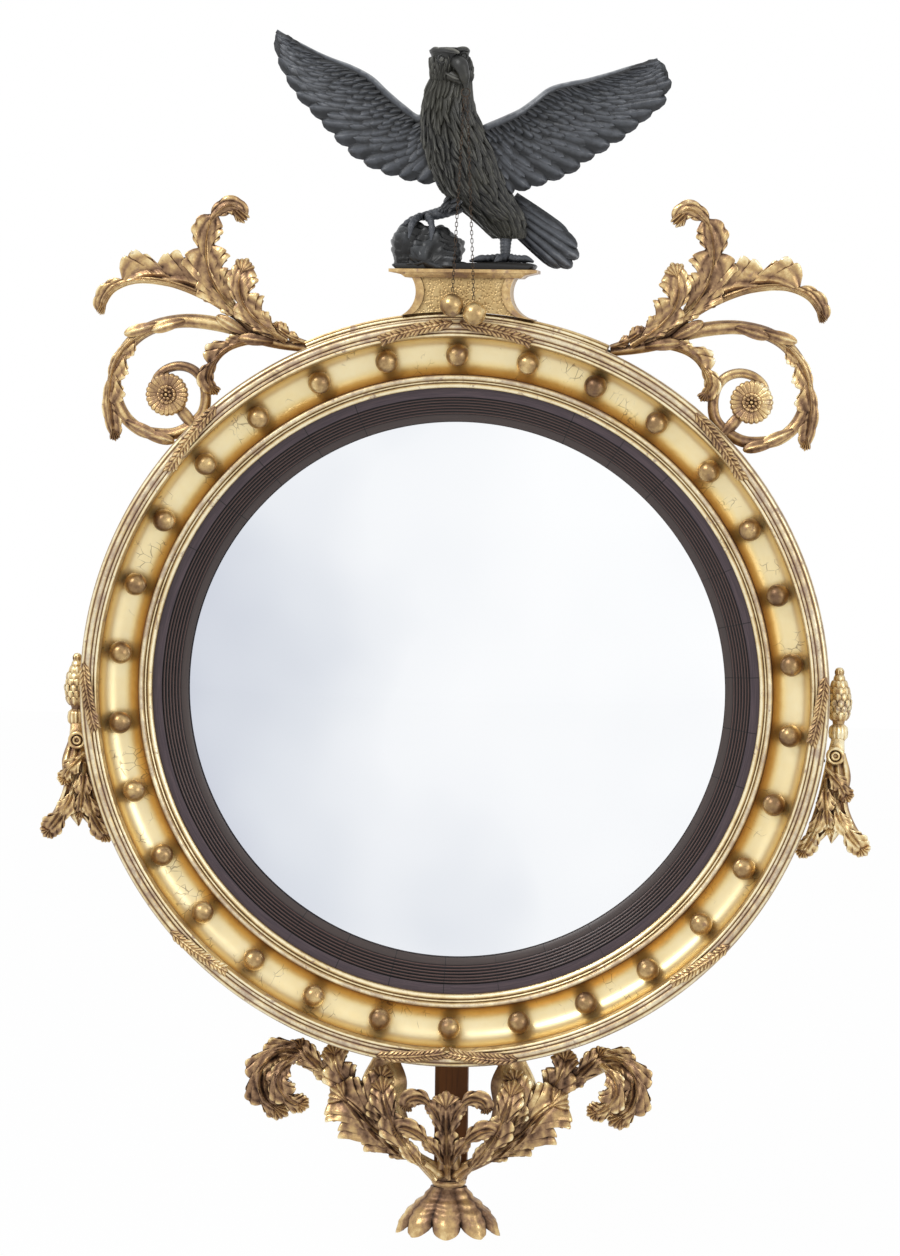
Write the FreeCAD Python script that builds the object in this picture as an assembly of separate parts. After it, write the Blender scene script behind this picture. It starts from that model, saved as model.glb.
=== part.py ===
import FreeCAD, Part
import math
import os
from FreeCAD import Rotation, Vector

# A round convex mirror in a gilt cove frame, with a carved black eagle on its crest.
# Millimetres. X runs to the viewer's right, Z up, and the front faces -Y.
# The wall is the plane y = 0, and the mirror's axis is the Y axis.
# Ring sections are written as (radius, y), and carved outlines as (x, z).

# --- the rings, from the glass outwards ---
sight_r = 294.0          # edge of the visible glass
slip_fillet_w = 8.0      # flat sight fillet of the dark slip
slip_reed_w = 18.5       # its reeded band
slip_reed_count = 6
slip_reed_rise = 1.2
slip_band_w = 12.5       # its flat outer band
slip_tongue_w = 8.5      # the part of the slip that lies under the ring's lip
slip_depth = 20.0        # from the glass seat to the face of the outer band
bead_w = 14.3            # gilt bead moulding that covers the slip's joint
bead_h = 13.0
bead_seat_w = 11.0
cove_w = 39.5            # clear width of the cove
cove_arc_r = 23.2        # radius of its section
cove_arc_in = 22.3       # from the cove's outer edge in to the arc's centre
cove_arc_front = 6.4     # from the shoulder back to the arc's centre
rim_w = 20.5             # reeded rim
rim_overhang = 7.0       # how far the rim laps over the ring's side
rim_lap = 12.0           # how far that lap comes back
rim_h = 11.0
rim_reed_rise = 1.6
shoulder_y = -74.0       # face of the ring under the rim
glass_seat_y = -22.0     # rear face of the slip, against the glass
seat_y = -36.0           # rear face of the ring's lip
lip_front_y = -44.0      # seat of the bead
back_chamfer = 6.0

# --- glass and back ---
plate_lap = 16.0         # how far the plate lies under the slip
plate_t = 4.0
plate_sphere_r = 1340.5
plate_rim_gap = 0.2      # between the plate and the slip's rear edge
rebate_w = 8.0           # room round the slip's tongue
block_arc = 5.0          # degrees that one glazing block covers
block_count = 8
block_lap = 6.0          # how far a block reaches behind the plate
backboard_t = 8.0
backboard_lap = 10.0
backboard_screw_count = 8

# --- fits ---
gap = 0.3                # between pieces that lie against each other
pin_gap = 0.1            # round pins, pegs and screws

# --- gilt balls ---
ball_d = 25.0
ball_count = 30
ball_set_in = 18.5      # from the cove's outer edge in to the balls' circle
peg_r = 3.0
peg_depth = 8.0

# --- leaf ties over the rim ---
tie_t = 1.8
tie_w = 15.0
tie_lobes = 5
tie_spans = [(0.6, 11.6), (40.0, 52.0), (86.0, 96.0), (131.0, 141.0), (169.0, 179.2)]

# --- crest ---
crest_x = 7.0            # the plinth and the eagle stand a little right of the axis
rail_angle = 23.3        # half the arc of the crest rail
rail_h = 13.2
rail_front_y = -84.0
rail_reed_rise = 1.4
rail_back_y = -20.0
plinth_h = 36.5          # above the rail
plinth_half = 55.0       # under the cap
plinth_waist = 50.5
plinth_waist_h = 22.5
plinth_foot = 76.0
plinth_front_y = -80.0
plinth_back_y = -22.0
stile_w = 9.0
stile_t = 4.0
panel_t = 1.5
cap_half = 79.0
cap_h = 9.0
cap_lip_h = 3.5
cap_front_y = -92.0
cap_back_y = -18.0
batten_w = 36.0
batten_t = 18.0
batten_skin = 0.3        # how far the battens lie below the ring's back
screw_r = 2.0
screw_head_r = 4.0
screw_head_h = 2.4

# --- hanging plates ---
hang_angle = 24.0        # from the top, each side
hang_in = 26.0           # from the ring's side in to the holes
hang_hole_r = 4.5
hang_plate_l = 60.0
hang_plate_w = 26.0
hang_plate_t = 3.0
hang_pocket_r = 8.0
hang_pocket_d = 14.0
hang_screw_x = 22.0

# --- eagle: points are measured from the middle of the cap's top ---
wing_t = 11.0
covert_t = 7.0
tail_t = 11.0
rock_y = (-85.0, -30.0)
slab_h = 7.0
slab_half = 79.0
dowel_r = 4.0
dowel_x = 42.0

# --- chains ---
beak_hole_x = 2.0        # from the plinth's middle
beak_hole_z = 190.0      # above the cap
beak_hole_y = -104.0
beak_hole_r = 1.7
ring_r = 4.5
ring_wire_r = 0.6
link_wire_r = 0.4
link_inner_w = 1.7
link_inner_l = 4.4
link_play = 0.1
hook_play = 0.2
link_on_ring = 24.0      # degrees from the ring's lowest point
chain_links = {"left": 47, "right": 49}
eye_r = 2.0
eye_wire_r = 0.5
eye_sink = 0.3
hung_ball_gap = 0.6

# --- side scrolls ---
scroll_y = -40.0
scroll_pin_r = 1.6
stem_end_r = 5.2
rosette_r = 23.6
rosette_t = 8.0
rosette_petals = 16

# --- side drops ---
drop_out = 18.0          # from the ring's side to the bud's axis
drop_y = -32.0
drop_bud_r = 12.0

# --- apron ---
apron_reach = 139.0      # from the ring's side down to the collar
core_r = 13.0
core_y = -34.0
collar_r = 17.5
collar_h = 6.0
finial_r = 57.0
finial_h = 52.0
finial_leaves = 9
finial_t = 4.0

# --- worked out from the sizes above ---
slip_r = sight_r + slip_fillet_w + slip_reed_w + slip_band_w
lip_r = slip_r + 1.0
tongue_r = slip_r + slip_tongue_w
rebate_r = lip_r + rebate_w
cove_in_r = lip_r + bead_seat_w
cove_out_r = cove_in_r + cove_w
rim_r = cove_out_r + rim_w
side_r = rim_r - rim_overhang
rim_front_y = shoulder_y - rim_h
arc_r0 = cove_out_r - cove_arc_in
arc_y0 = shoulder_y + cove_arc_front
cove_foot_y = arc_y0 + math.sqrt(cove_arc_r ** 2 - (arc_r0 - cove_in_r) ** 2)
back_r = rebate_r + backboard_lap
plate_r = sight_r + plate_lap
hang_r = side_r - hang_in
backboard_r = back_r - 0.5
ball_r = ball_d / 2
ball_set_r = cove_out_r - ball_set_in
ball_reach = cove_arc_r - ball_r - gap
ball_y = arc_y0 + math.sqrt(ball_reach ** 2 - (ball_set_r - arc_r0) ** 2)
sphere_y0 = glass_seat_y + plate_rim_gap + math.sqrt(plate_sphere_r ** 2 - sight_r ** 2)
rail_r = side_r + gap
drop_x = side_r + drop_out
apron_z = -side_r - apron_reach
rail_out_r = rail_r + rail_h
plinth_top_z = rail_out_r + plinth_h
plinth_waist_z = rail_out_r + plinth_waist_h
cap_z = plinth_top_z + cap_h
perch = Vector(crest_x, 0, cap_z)
link_mid_r = link_inner_w / 2 + link_wire_r
link_half = link_inner_l / 2
link_pitch = link_inner_l - link_play

ORIGIN = Vector(0, 0, 0)
AXIS = Vector(0, 1, 0)


def polar(radius, clock, y=0.0):
    """A point at this radius, clockwise from the top as the viewer sees it."""
    a = math.radians(clock)
    return Vector(radius * math.sin(a), y, radius * math.cos(a))


def on_side(clock, points):
    """Points (x, z) that are measured from the ring's side at a clock angle."""
    foot = polar(side_r, clock)
    return [(foot.x + x, foot.z + z) for x, z in points]


def section_wire(start, steps):
    """A closed wire in the X-Y plane: each step is an end point, or a mid and an end."""
    edges = []
    here = Vector(start[0], start[1], 0)
    for step in steps + [start]:
        if isinstance(step[0], tuple):
            mid, end = (Vector(p[0], p[1], 0) for p in step)
            edges.append(Part.Arc(here, mid, end).toShape())
        else:
            end = Vector(step[0], step[1], 0)
            if (end - here).Length < 1e-6:
                continue
            edges.append(Part.LineSegment(here, end).toShape())
        here = end
    return Part.Wire(edges)


def turned(start, steps, clock=0.0, arc=360.0):
    """A section turned about the mirror's axis, from a clock angle over an arc."""
    face = Part.Face(section_wire(start, steps))
    face.rotate(ORIGIN, AXIS, clock - 90)
    return face.revolve(ORIGIN, AXIS, arc)


def reeds(start, end, count, rise):
    """Steps for a row of round reeds that stand out towards the viewer."""
    steps = []
    for i in range(count):
        a, b = i / count, (i + 1) / count
        mid = (a + b) / 2
        lie = [start[k] + (end[k] - start[k]) * mid for k in (0, 1)]
        stop = tuple(start[k] + (end[k] - start[k]) * b for k in (0, 1))
        steps.append(((lie[0], lie[1] - rise), stop))
    return steps


def prism(outline, y0, y1):
    """An (x, z) outline carried from y0 to y1."""
    points = [Vector(x, y0, z) for x, z in outline]
    face = Part.Face(Part.makePolygon(points + [points[0]]))
    return face.extrude(Vector(0, y1 - y0, 0))


def box(x0, x1, y0, y1, z0, z1):
    return Part.makeBox(x1 - x0, y1 - y0, z1 - z0, Vector(x0, y0, z0))


def along(points, t):
    """The point and direction at a share t of a polyline's length."""
    pts = [Vector(x, 0, z) for x, z in points]
    spans = [(b - a).Length for a, b in zip(pts, pts[1:])]
    left = t * sum(spans)
    for a, b, span in zip(pts, pts[1:], spans):
        if left <= span or b is pts[-1]:
            d = (b - a).normalize()
            return a + d * left, d
        left -= span


def lobed_outline(midrib, left, right, foot, notch=0.55, lean=0.05):
    """A leaf's outline: lobe tips (share of the length, reach) on each side of a midrib."""
    def side(lobes, sign):
        edge = []
        a, d = along(midrib, 0.0)
        edge.append(a + Vector(-d.z, 0, d.x) * (sign * foot))
        for i, (t, reach) in enumerate(lobes):
            p, d = along(midrib, min(t + lean, 1.0))
            edge.append(p + Vector(-d.z, 0, d.x) * (sign * reach))
            after = lobes[i + 1] if i + 1 < len(lobes) else (1.0, reach * 0.5)
            q, d = along(midrib, (t + after[0]) / 2 + lean / 2)
            edge.append(q + Vector(-d.z, 0, d.x) * (sign * notch * (reach + after[1]) / 2))
        return edge
    tip = along(midrib, 1.0)[0]
    points = side(left, 1) + [tip] + side(right, -1)[::-1]
    return [(p.x, p.z) for p in points]


def bent_slab(base, tip, depths, thickness, half_w=140.0):
    """A slab that runs from base to tip (x, z), its front at these evenly spaced depths."""
    run = Vector(tip[0] - base[0], 0, tip[1] - base[1])
    unit = Vector(run).normalize()
    across = Vector(-unit.z, 0, unit.x)
    start = Vector(base[0], 0, base[1]) - across * half_w
    count = len(depths)
    reach = [(-0.25 if i == 0 else 1.25 if i == count - 1 else i / (count - 1))
             for i in range(count)]
    front = [start + unit * (run.Length * s) + Vector(0, y, 0) for s, y in zip(reach, depths)]
    back = [p + Vector(0, thickness, 0) for p in reversed(front)]
    face = Part.Face(Part.makePolygon(front + back + [front[0]]))
    return face.extrude(across * (2 * half_w))


def leaf(outline, base, tip, depths, thickness):
    """A carved leaf: its outline cut out of a bent slab."""
    blank = prism(outline, -140.0, 40.0)
    return biggest(blank.common(bent_slab(base, tip, depths, thickness)))


def biggest(shape):
    return max(shape.Solids, key=lambda s: s.Volume)


def joined(pieces):
    """Pieces carved from one block."""
    shape = pieces[0].multiFuse(pieces[1:]) if len(pieces) > 1 else pieces[0]
    return biggest(shape.removeSplitter())


def without(shape, tools):
    return shape.cut(Part.makeCompound(tools)) if tools else shape


def smooth_path(points, count):
    """Evenly spaced points and directions on one smooth curve through the given points."""
    curve = Part.BSplineCurve()
    curve.interpolate([Vector(*p) for p in points])
    stations = curve.discretize(count)
    out = []
    for p in stations:
        t = curve.parameter(p)
        out.append((p, curve.tangent(t)[0]))
    return out


def round_bar(points, radii, count, reference=Vector(0, 1, 0)):
    """A carved round bar along a smooth path, its radius changing evenly between the given ones."""
    rings = []
    path = smooth_path(points, count)
    for i, (p, d) in enumerate(path):
        s = i / (count - 1) * (len(radii) - 1)
        k = min(int(s), len(radii) - 2)
        r = radii[k] + (radii[k + 1] - radii[k]) * (s - k)
        ring = Part.Wire([Part.Circle(ORIGIN, Vector(0, 0, 1), r).toShape()])
        ring.Placement = FreeCAD.Placement(p, Rotation(reference, Vector(0, 0, 0), d, "ZXY"))
        rings.append(ring)
    return Part.makeLoft(rings, True, True)


def stacked(slices, grow=0.0, sides=14):
    """A body through level slices (z, x, y, half width, half depth), measured from the perch."""
    rings = []
    for z, x, y, half_x, half_y in slices:
        ring = []
        for i in range(sides):
            a = 2 * math.pi * i / sides
            ring.append(perch + Vector(x + (half_x + grow) * math.cos(a),
                                       y + (half_y + grow) * math.sin(a), z))
        rings.append(Part.makePolygon(ring + [ring[0]]))
    return Part.makeLoft(rings, True, True)


def on_perch(points):
    return [(x + crest_x, z + cap_z) for x, z in points]


def both_sides(make):
    """The same carving for the left side and, mirrored, for the right side."""
    left = make()
    return {"left": left, "right": left.mirror(ORIGIN, Vector(1, 0, 0))}


def screw(length, grow=0.0):
    """A countersunk wood screw, head at y = 0, pointing to the front."""
    head = Part.makeCone(screw_head_r + grow, screw_r + grow, screw_head_h, ORIGIN,
                         Vector(0, -1, 0))
    shank = Part.makeCylinder(screw_r + grow, length + grow, ORIGIN, Vector(0, -1, 0))
    return head.fuse(shank)


def screw_set(places, length):
    """Slotted screws at these places, and the holes for them."""
    screws, holes = [], []
    slot = box(-screw_head_r, screw_head_r, -1.2, 1.0, -0.5, 0.5)
    for p in places:
        body = screw(length).cut(slot)
        body.translate(p)
        screws.append(body)
        hole = screw(length, pin_gap)
        hole.translate(p)
        holes.append(hole)
        holes.append(Part.makeCylinder(screw_head_r + pin_gap, 5.0, p, AXIS))
    return Part.makeCompound(screws), holes


# --- rings ---

def cove_ring(cuts):
    out = cove_arc_r * 0.42
    middle = (arc_r0 + out, arc_y0 + math.sqrt(cove_arc_r ** 2 - out ** 2))
    start = (side_r - back_chamfer, 0.0)
    steps = [(side_r, -back_chamfer), (side_r, shoulder_y), (cove_out_r, shoulder_y),
             (middle, (cove_in_r, cove_foot_y)), (cove_in_r, lip_front_y), (lip_r, lip_front_y),
             (lip_r, seat_y), (rebate_r, seat_y), (rebate_r, -backboard_t),
             (back_r, -backboard_t), (back_r, 0.0)]
    return without(turned(start, steps), cuts)


def reeded_rim():
    """The rim, cut back to the ring's side where the crest rail stands."""
    lap = side_r + 0.2
    lap_y = shoulder_y + rim_lap
    inner = (cove_out_r + 1.5, rim_front_y + 2.2)
    front = [inner] + reeds(inner, (rim_r - 1.5, rim_front_y + 2.0), 4, rim_reed_rise)
    full = front + [(rim_r, shoulder_y), (rim_r - 2.5, lap_y), (lap, lap_y), (lap, shoulder_y)]
    short = front[:3] + [(side_r, front[2][1][1]), (side_r, shoulder_y)]
    start = (cove_out_r, shoulder_y)
    turn = 2 * rail_angle + 0.2
    return joined([turned(start, full, turn / 2, 360 - turn), turned(start, short, -turn / 2, turn)])


def inner_bead():
    inner = cove_in_r - 0.2 - bead_w
    outer = cove_in_r - 0.2
    step_r = inner + bead_w * 0.45
    foot = lip_front_y
    steps = [(inner, foot - 3.0), ((inner + bead_w * 0.22, foot - 8.5), (step_r, foot - 7.0)),
             ((inner + bead_w * 0.72, foot - bead_h), (outer, foot - 8.0)), (outer, foot)]
    return turned((inner, foot), steps)


def ebonised_slip():
    r1 = sight_r + slip_fillet_w
    r2 = r1 + slip_reed_w
    face_y = glass_seat_y - slip_depth
    steps = [(sight_r, glass_seat_y - 2.0), (r1, glass_seat_y - 5.0)]
    steps += reeds((r1, glass_seat_y - 5.5), (r2, face_y + 2.0), slip_reed_count,
                   slip_reed_rise)
    steps += [(r2, face_y), (slip_r, face_y - 1.4), (slip_r, seat_y), (tongue_r, seat_y),
              (tongue_r, glass_seat_y), (sight_r + 2.0, glass_seat_y)]
    return turned((sight_r + 2.0, glass_seat_y), steps)


def plate_y(radius, rho):
    return sphere_y0 - math.sqrt(rho ** 2 - radius ** 2)


def mirror_plate():
    back_rho = plate_sphere_r - plate_t
    half = plate_r / 2
    steps = [((half, plate_y(half, plate_sphere_r)), (plate_r, plate_y(plate_r, plate_sphere_r))),
             (plate_r, plate_y(plate_r, back_rho)),
             ((half, plate_y(half, back_rho)), (0.0, plate_y(0.0, back_rho)))]
    return turned((0.0, plate_y(0.0, plate_sphere_r)), steps)


def glazing_blocks():
    rear = -backboard_t - gap
    toe = plate_y(plate_r, plate_sphere_r - plate_t) + gap
    inner = plate_r - block_lap
    start = (plate_r + 0.5, glass_seat_y)
    steps = [(tongue_r - 0.5, glass_seat_y), (tongue_r - 0.5, rear), (inner, rear), (inner, toe),
             (plate_r + 0.5, toe)]
    blocks = [turned(start, steps, i * 360 / block_count - block_arc / 2, block_arc)
              for i in range(block_count)]
    return Part.makeCompound(blocks)


def backboard(holes):
    return without(Part.makeCylinder(backboard_r, backboard_t, ORIGIN, Vector(0, -1, 0)), holes)


def ball_places():
    return [polar(ball_set_r, i * 360 / ball_count, ball_y) for i in range(ball_count)]


def gilt_balls():
    balls = []
    for p in ball_places():
        peg = Part.makeCylinder(peg_r, ball_r + gap + peg_depth, p, AXIS)
        balls.append(Part.makeSphere(ball_r, p).fuse(peg))
    return Part.makeCompound(balls)


def ball_holes():
    depth = ball_r + gap + peg_depth + 1.0
    return [Part.makeCylinder(peg_r + pin_gap, depth, p, AXIS) for p in ball_places()]


def tie_outline(start, end):
    """A lobed strip that crosses the rim from its outer to its inner edge."""
    spine = []
    for i in range(5):
        s = i / 4
        p = polar(rim_r + 1 - s * (rim_w + 1), start + (end - start) * s)
        spine.append((p.x, p.z))
    lobes = [((i + 0.5) / tie_lobes, tie_w / 2) for i in range(tie_lobes)]
    return lobed_outline(spine, lobes, lobes, tie_w / 3, notch=0.75, lean=0.03)


def leaf_ties():
    """Strips of carved leaves bound over the rim, in pairs at the top and the bottom."""
    inner = [(cove_out_r - 0.3, shoulder_y - 2.0), (cove_out_r + 0.6, rim_front_y + 1.0),
             (cove_out_r + 4.0, rim_front_y - 0.3), (rim_r - 1.6, rim_front_y - 0.3),
             (rim_r + 0.3, shoulder_y - 4.0)]
    outer = [(rim_r + 0.3 + tie_t * 0.6, shoulder_y - 4.0), (rim_r - 2.0, rim_front_y - tie_t),
             (cove_out_r + 3.0, rim_front_y - tie_t), (cove_out_r - 1.4, rim_front_y + 1.0),
             (cove_out_r - 1.8, shoulder_y - 2.0)]
    cover = turned(inner[0], inner[1:] + outer)
    rail_room = turned((rail_r - gap, shoulder_y - 40), [(rail_out_r, shoulder_y - 40),
                       (rail_out_r, 0.0), (rail_r - gap, 0.0)], -rail_angle - 0.5,
                       2 * rail_angle + 1.0)
    cover = cover.cut(rail_room)
    ties = []
    for start, end in tie_spans:
        for sign in (-1, 1):
            blank = prism(tie_outline(sign * start, sign * end), -120.0, -60.0)
            ties.append(biggest(cover.common(blank)))
    return Part.makeCompound(ties)


# --- crest ---

def crest_rail():
    start = (rail_r, rail_back_y)
    steps = [(rail_r, rail_front_y + 3.0)]
    steps += reeds((rail_r, rail_front_y + 3.0), (rail_out_r - 2.0, rail_front_y + 5.0), 3,
                   rail_reed_rise)
    steps += [(rail_out_r, rail_front_y + 6.0), (rail_out_r, rail_back_y)]
    return turned(start, steps, -rail_angle, 2 * rail_angle)


def plinth_foot_z(half):
    return math.sqrt(rail_out_r ** 2 - half ** 2)


def plinth_face(inset, top):
    """The plinth's front: a waisted shape between two arcs, standing on the rail."""
    foot_z = rail_out_r * 0.9
    halves = [plinth_half - inset, plinth_waist - inset, plinth_foot - inset]
    zs = [top, plinth_waist_z, plinth_foot_z(plinth_foot)]
    right = [Vector(crest_x + h, 0, z) for h, z in zip(halves, zs)]
    left = [Vector(crest_x - h, 0, z) for h, z in zip(halves, zs)]
    low_right = Vector(right[2].x, 0, foot_z)
    low_left = Vector(left[2].x, 0, foot_z)
    edges = [Part.Arc(*right).toShape(), Part.LineSegment(right[2], low_right).toShape(),
             Part.LineSegment(low_right, low_left).toShape(),
             Part.LineSegment(low_left, left[2]).toShape(), Part.Arc(*left[::-1]).toShape(),
             Part.LineSegment(left[0], right[0]).toShape()]
    return Part.Face(Part.Wire(edges))


def slab_on_rail(face, y0, y1):
    face.translate(Vector(0, y0, 0))
    rail = Part.makeCylinder(rail_out_r + gap, 200.0, Vector(0, -150, 0), AXIS)
    return face.extrude(Vector(0, y1 - y0, 0)).cut(rail)


def crest_plinth(cuts):
    body = slab_on_rail(plinth_face(0.0, plinth_top_z), plinth_front_y, plinth_back_y)
    return biggest(without(body, cuts))


def plinth_panel():
    face = plinth_face(stile_w + gap, plinth_top_z)
    return biggest(slab_on_rail(face, plinth_front_y - panel_t, plinth_front_y))


def plinth_stiles():
    outer = slab_on_rail(plinth_face(0.0, plinth_top_z), plinth_front_y - stile_t, plinth_front_y)
    inner = plinth_face(stile_w, plinth_top_z)
    inner.translate(Vector(0, plinth_front_y - stile_t - 1, 0))
    return outer.cut(inner.extrude(Vector(0, stile_t + 2, 0)))


def plinth_cap(cuts):
    lip_z = cap_z - cap_lip_h
    slab = box(crest_x - cap_half, crest_x + cap_half, cap_front_y, cap_back_y, lip_z, cap_z)
    rings = []
    for half, front, z in ((plinth_half + 7, plinth_front_y - 5, plinth_top_z),
                           (plinth_half + 11, plinth_front_y - 8, plinth_top_z + 3),
                           (cap_half - 2, cap_front_y + 2, lip_z)):
        ring = [Vector(crest_x - half, front, z), Vector(crest_x + half, front, z),
                Vector(crest_x + half, cap_back_y, z), Vector(crest_x - half, cap_back_y, z)]
        rings.append(Part.makePolygon(ring + [ring[0]]))
    cove = Part.makeLoft(rings, True, True)
    return biggest(without(slab.fuse(cove), cuts))


def batten(z0, z1, x=0.0, grow=0.0):
    half = batten_w / 2 + grow
    rear = grow if grow else -batten_skin
    return box(x - half, x + half, -batten_t - grow, rear, z0 - grow, z1 + grow)


# --- eagle ---

BODY = [(203.0, -15, -76, 20, 20), (190.0, -19, -74, 23, 21), (158.0, -18, -66, 29, 26),
        (129.0, -8, -61, 38, 29), (105.0, 0, -58, 37, 31), (81.0, 12, -54, 34, 29),
        (66.0, 25, -50, 30, 24), (48.0, 41, -46, 23, 18), (36.0, 46, -44, 14, 11)]
HEAD = [(203.0, -15, -77, 21, 20), (213.0, -15, -82, 21, 24), (223.0, -17, -85, 19, 25),
        (229.0, -17, -86, 21, 24), (232.0, -16, -86, 19, 22)]
BEAK = [(-14, 4, 29), (-5, -6, 23), (-1, -5, 11), (0, 0, -2.5)]    # from its hole
WING_LEFT = [(-24, 168), (-49, 158), (-82, 181), (-110, 207), (-163, 229), (-205, 252), (-203, 232),
             (-201, 222), (-192, 208), (-194, 204), (-184, 195), (-181, 184), (-168, 175),
             (-166, 170), (-150, 158), (-148, 149), (-134, 144), (-135, 131), (-110, 115),
             (-104, 121), (-98, 108), (-76, 107), (-74, 98), (-56, 96), (-50, 103), (-38, 92),
             (-20, 93), (0, 100), (5, 130)]
WING_RIGHT = [(10, 160), (29, 153), (60, 168), (93, 193), (121, 199), (151, 208), (203, 224),
              (216, 214), (213, 207), (218, 203), (216, 189), (206, 183), (194, 168), (184, 169),
              (180, 152), (170, 143), (155, 135), (145, 138), (142, 125), (127, 122),
              (125, 111), (110, 108), (106, 97), (90, 98), (82, 105), (78, 92), (62, 88),
              (50, 82), (20, 95), (5, 130)]
TAIL = [(40, 90), (56, 83), (89, 54), (108, 36), (117, 26), (121, 10), (112, 3), (98, 8),
        (77, 18), (60, 38), (46, 52)]
ROCK = [(-77, 4), (-78, 34), (-70, 44), (-59, 48), (-40, 51), (-19, 47), (-3, 32), (0, 14),
        (0, 4)]


def eagle_body(grow=0.0):
    return stacked(BODY, grow)


def eagle_head():
    skull = stacked(HEAD)
    points = [tuple(beak_hole() + Vector(*p)) for p in BEAK]
    beak = round_bar(points, [7.5, 8.0, 4.8, 2.2], 9, Vector(1, 0, 0))
    hole = Part.makeCylinder(beak_hole_r, 20, beak_hole() - Vector(10, 0, 0), Vector(1, 0, 0))
    return joined([skull, beak]).cut(hole)


def beak_hole():
    return perch + Vector(beak_hole_x, beak_hole_y, beak_hole_z)


def wing(outline, depths):
    """A flight-feather blade with a thicker layer of coverts along its front edge."""
    outline = on_perch(outline)
    root, tip = outline[0], outline[5]
    blade = leaf(outline, root, tip, depths, wing_t)
    covert_cut = [(x, z + 26.0 * abs(x - crest_x) / 200.0 + 22.0) for x, z in outline]
    covert = leaf(covert_cut, root, tip, [y - covert_t for y in depths], covert_t + 1.0)
    covert = covert.common(prism(outline, -140.0, 40.0))
    wing_shape = joined([blade, biggest(covert)])
    return biggest(wing_shape.cut(eagle_body(gap)))


def eagle_tail():
    outline = on_perch(TAIL)
    tail = leaf(outline, outline[0], outline[5], [-42, -42, -38, -36], tail_t)
    return biggest(tail.cut(eagle_body(gap)))


def rock_solid(grow=0.0):
    """A boulder on a ground slab, carved in one."""
    outline = on_perch(ROCK)
    mid = (crest_x - 38.0, cap_z + 22.0)
    rings = []
    for y, scale in ((rock_y[0], 0.72), (rock_y[0] + 12, 1.0), (rock_y[1] - 10, 1.0),
                     (rock_y[1], 0.75)):
        reach = scale + grow / 22
        ring = [Vector(mid[0] + (x - mid[0]) * reach, y, mid[1] + (z - mid[1]) * reach)
                for x, z in outline]
        rings.append(Part.makePolygon(ring + [ring[0]]))
    slab = box(crest_x - slab_half + 1, crest_x + slab_half - 2, rock_y[0] - grow,
               rock_y[1] + 4 + grow, cap_z, cap_z + slab_h + grow)
    floor = box(-300, 300, -200, 100, cap_z - 100, cap_z)
    return joined([Part.makeLoft(rings, True, True).cut(floor), slab])


def clawed_leg(hip, ankle, toes, radii):
    """A leg bar with its claws, cut to stand on the rock."""
    points = [tuple(perch + Vector(*p)) for p in hip + [ankle]]
    pieces = [round_bar(points, radii, 7)]
    for toe in toes:
        path = [perch + Vector(*p) for p in [ankle] + toe]
        beside = (path[-1] - path[0]).cross(Vector(0, 0, 1))
        pieces.append(round_bar([tuple(p) for p in path], [radii[-1], 4.2, 3.6, 1.2], 7, beside))
    pieces.append(Part.makeSphere(radii[-1] + 0.6, perch + Vector(*ankle)))
    body, rock = eagle_body(gap), rock_solid(gap)
    return joined([biggest(piece.cut(body).cut(rock)) for piece in pieces])


def left_leg():
    toes = [[(-56, -62, 53), (-66, -66, 45), (-76, -68, 32)],
            [(-50, -72, 55), (-55, -84, 48), (-58, -89, 32)],
            [(-38, -74, 54), (-34, -84, 46), (-34, -89, 30)]]
    return clawed_leg([(-6, -58, 72), (-22, -60, 62)], (-44, -62, 56), toes, [10.0, 7.0, 5.4])


def right_leg():
    toes = [[(30, -62, 12), (18, -68, 11.6), (6, -72, 9)],
            [(40, -66, 12.6), (38, -76, 11.6), (34, -84, 9)],
            [(54, -60, 12), (66, -62, 11.8), (74, -64, 9)]]
    return clawed_leg([(44, -50, 46), (43, -52, 30)], (43, -56, 15), toes, [9.0, 6.4, 5.4])


def eagle_dowels(grow=0.0):
    return [Part.makeCylinder(dowel_r + grow, 26.0 + grow,
                              Vector(crest_x + x, -54.0, cap_z - 20.0 - grow))
            for x in (-dowel_x, dowel_x)]


# --- chains ---

def link(upright=True):
    """A stadium-shaped link about the origin, its length along Z."""
    h = link_half - link_inner_w / 2
    disc = Part.Face(Part.Wire([Part.Circle(ORIGIN, Vector(0, 0, 1), link_wire_r).toShape()]))
    parts = []
    for side in (-1, 1):
        leg = disc.copy()
        leg.translate(Vector(side * link_mid_r, 0, -h))
        parts.append(leg.extrude(Vector(0, 0, 2 * h)))
        bow = disc.copy()
        bow.translate(Vector(link_mid_r, 0, side * h))
        parts.append(bow.revolve(Vector(0, 0, side * h), AXIS, -side * 180))
    shape = joined(parts)
    if not upright:
        shape.rotate(ORIGIN, Vector(0, 0, 1), 90)
    return shape


def hang_point(side):
    """Centre of the ring's wire where the top link of this side hangs."""
    a = math.radians(link_on_ring) * (-1 if side == "left" else 1)
    return beak_hole() + Vector(ring_r * math.sin(a), 0, -ring_r - ring_r * math.cos(a))


def top_link_centre(side):
    return hang_point(side) + Vector(0, 0, ring_wire_r + hook_play - link_half)


def sway_point(side):
    return top_link_centre(side) - Vector(0, 0, link_half + link_wire_r)


def chain_length(side):
    return link_pitch * chain_links[side] + 0.05


def hung_length(side):
    """From the sway point to the centre of the hung ball."""
    eye_drop = eye_r - link_wire_r - eye_wire_r - link_play
    return chain_length(side) + eye_drop + ball_r + eye_sink


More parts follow.
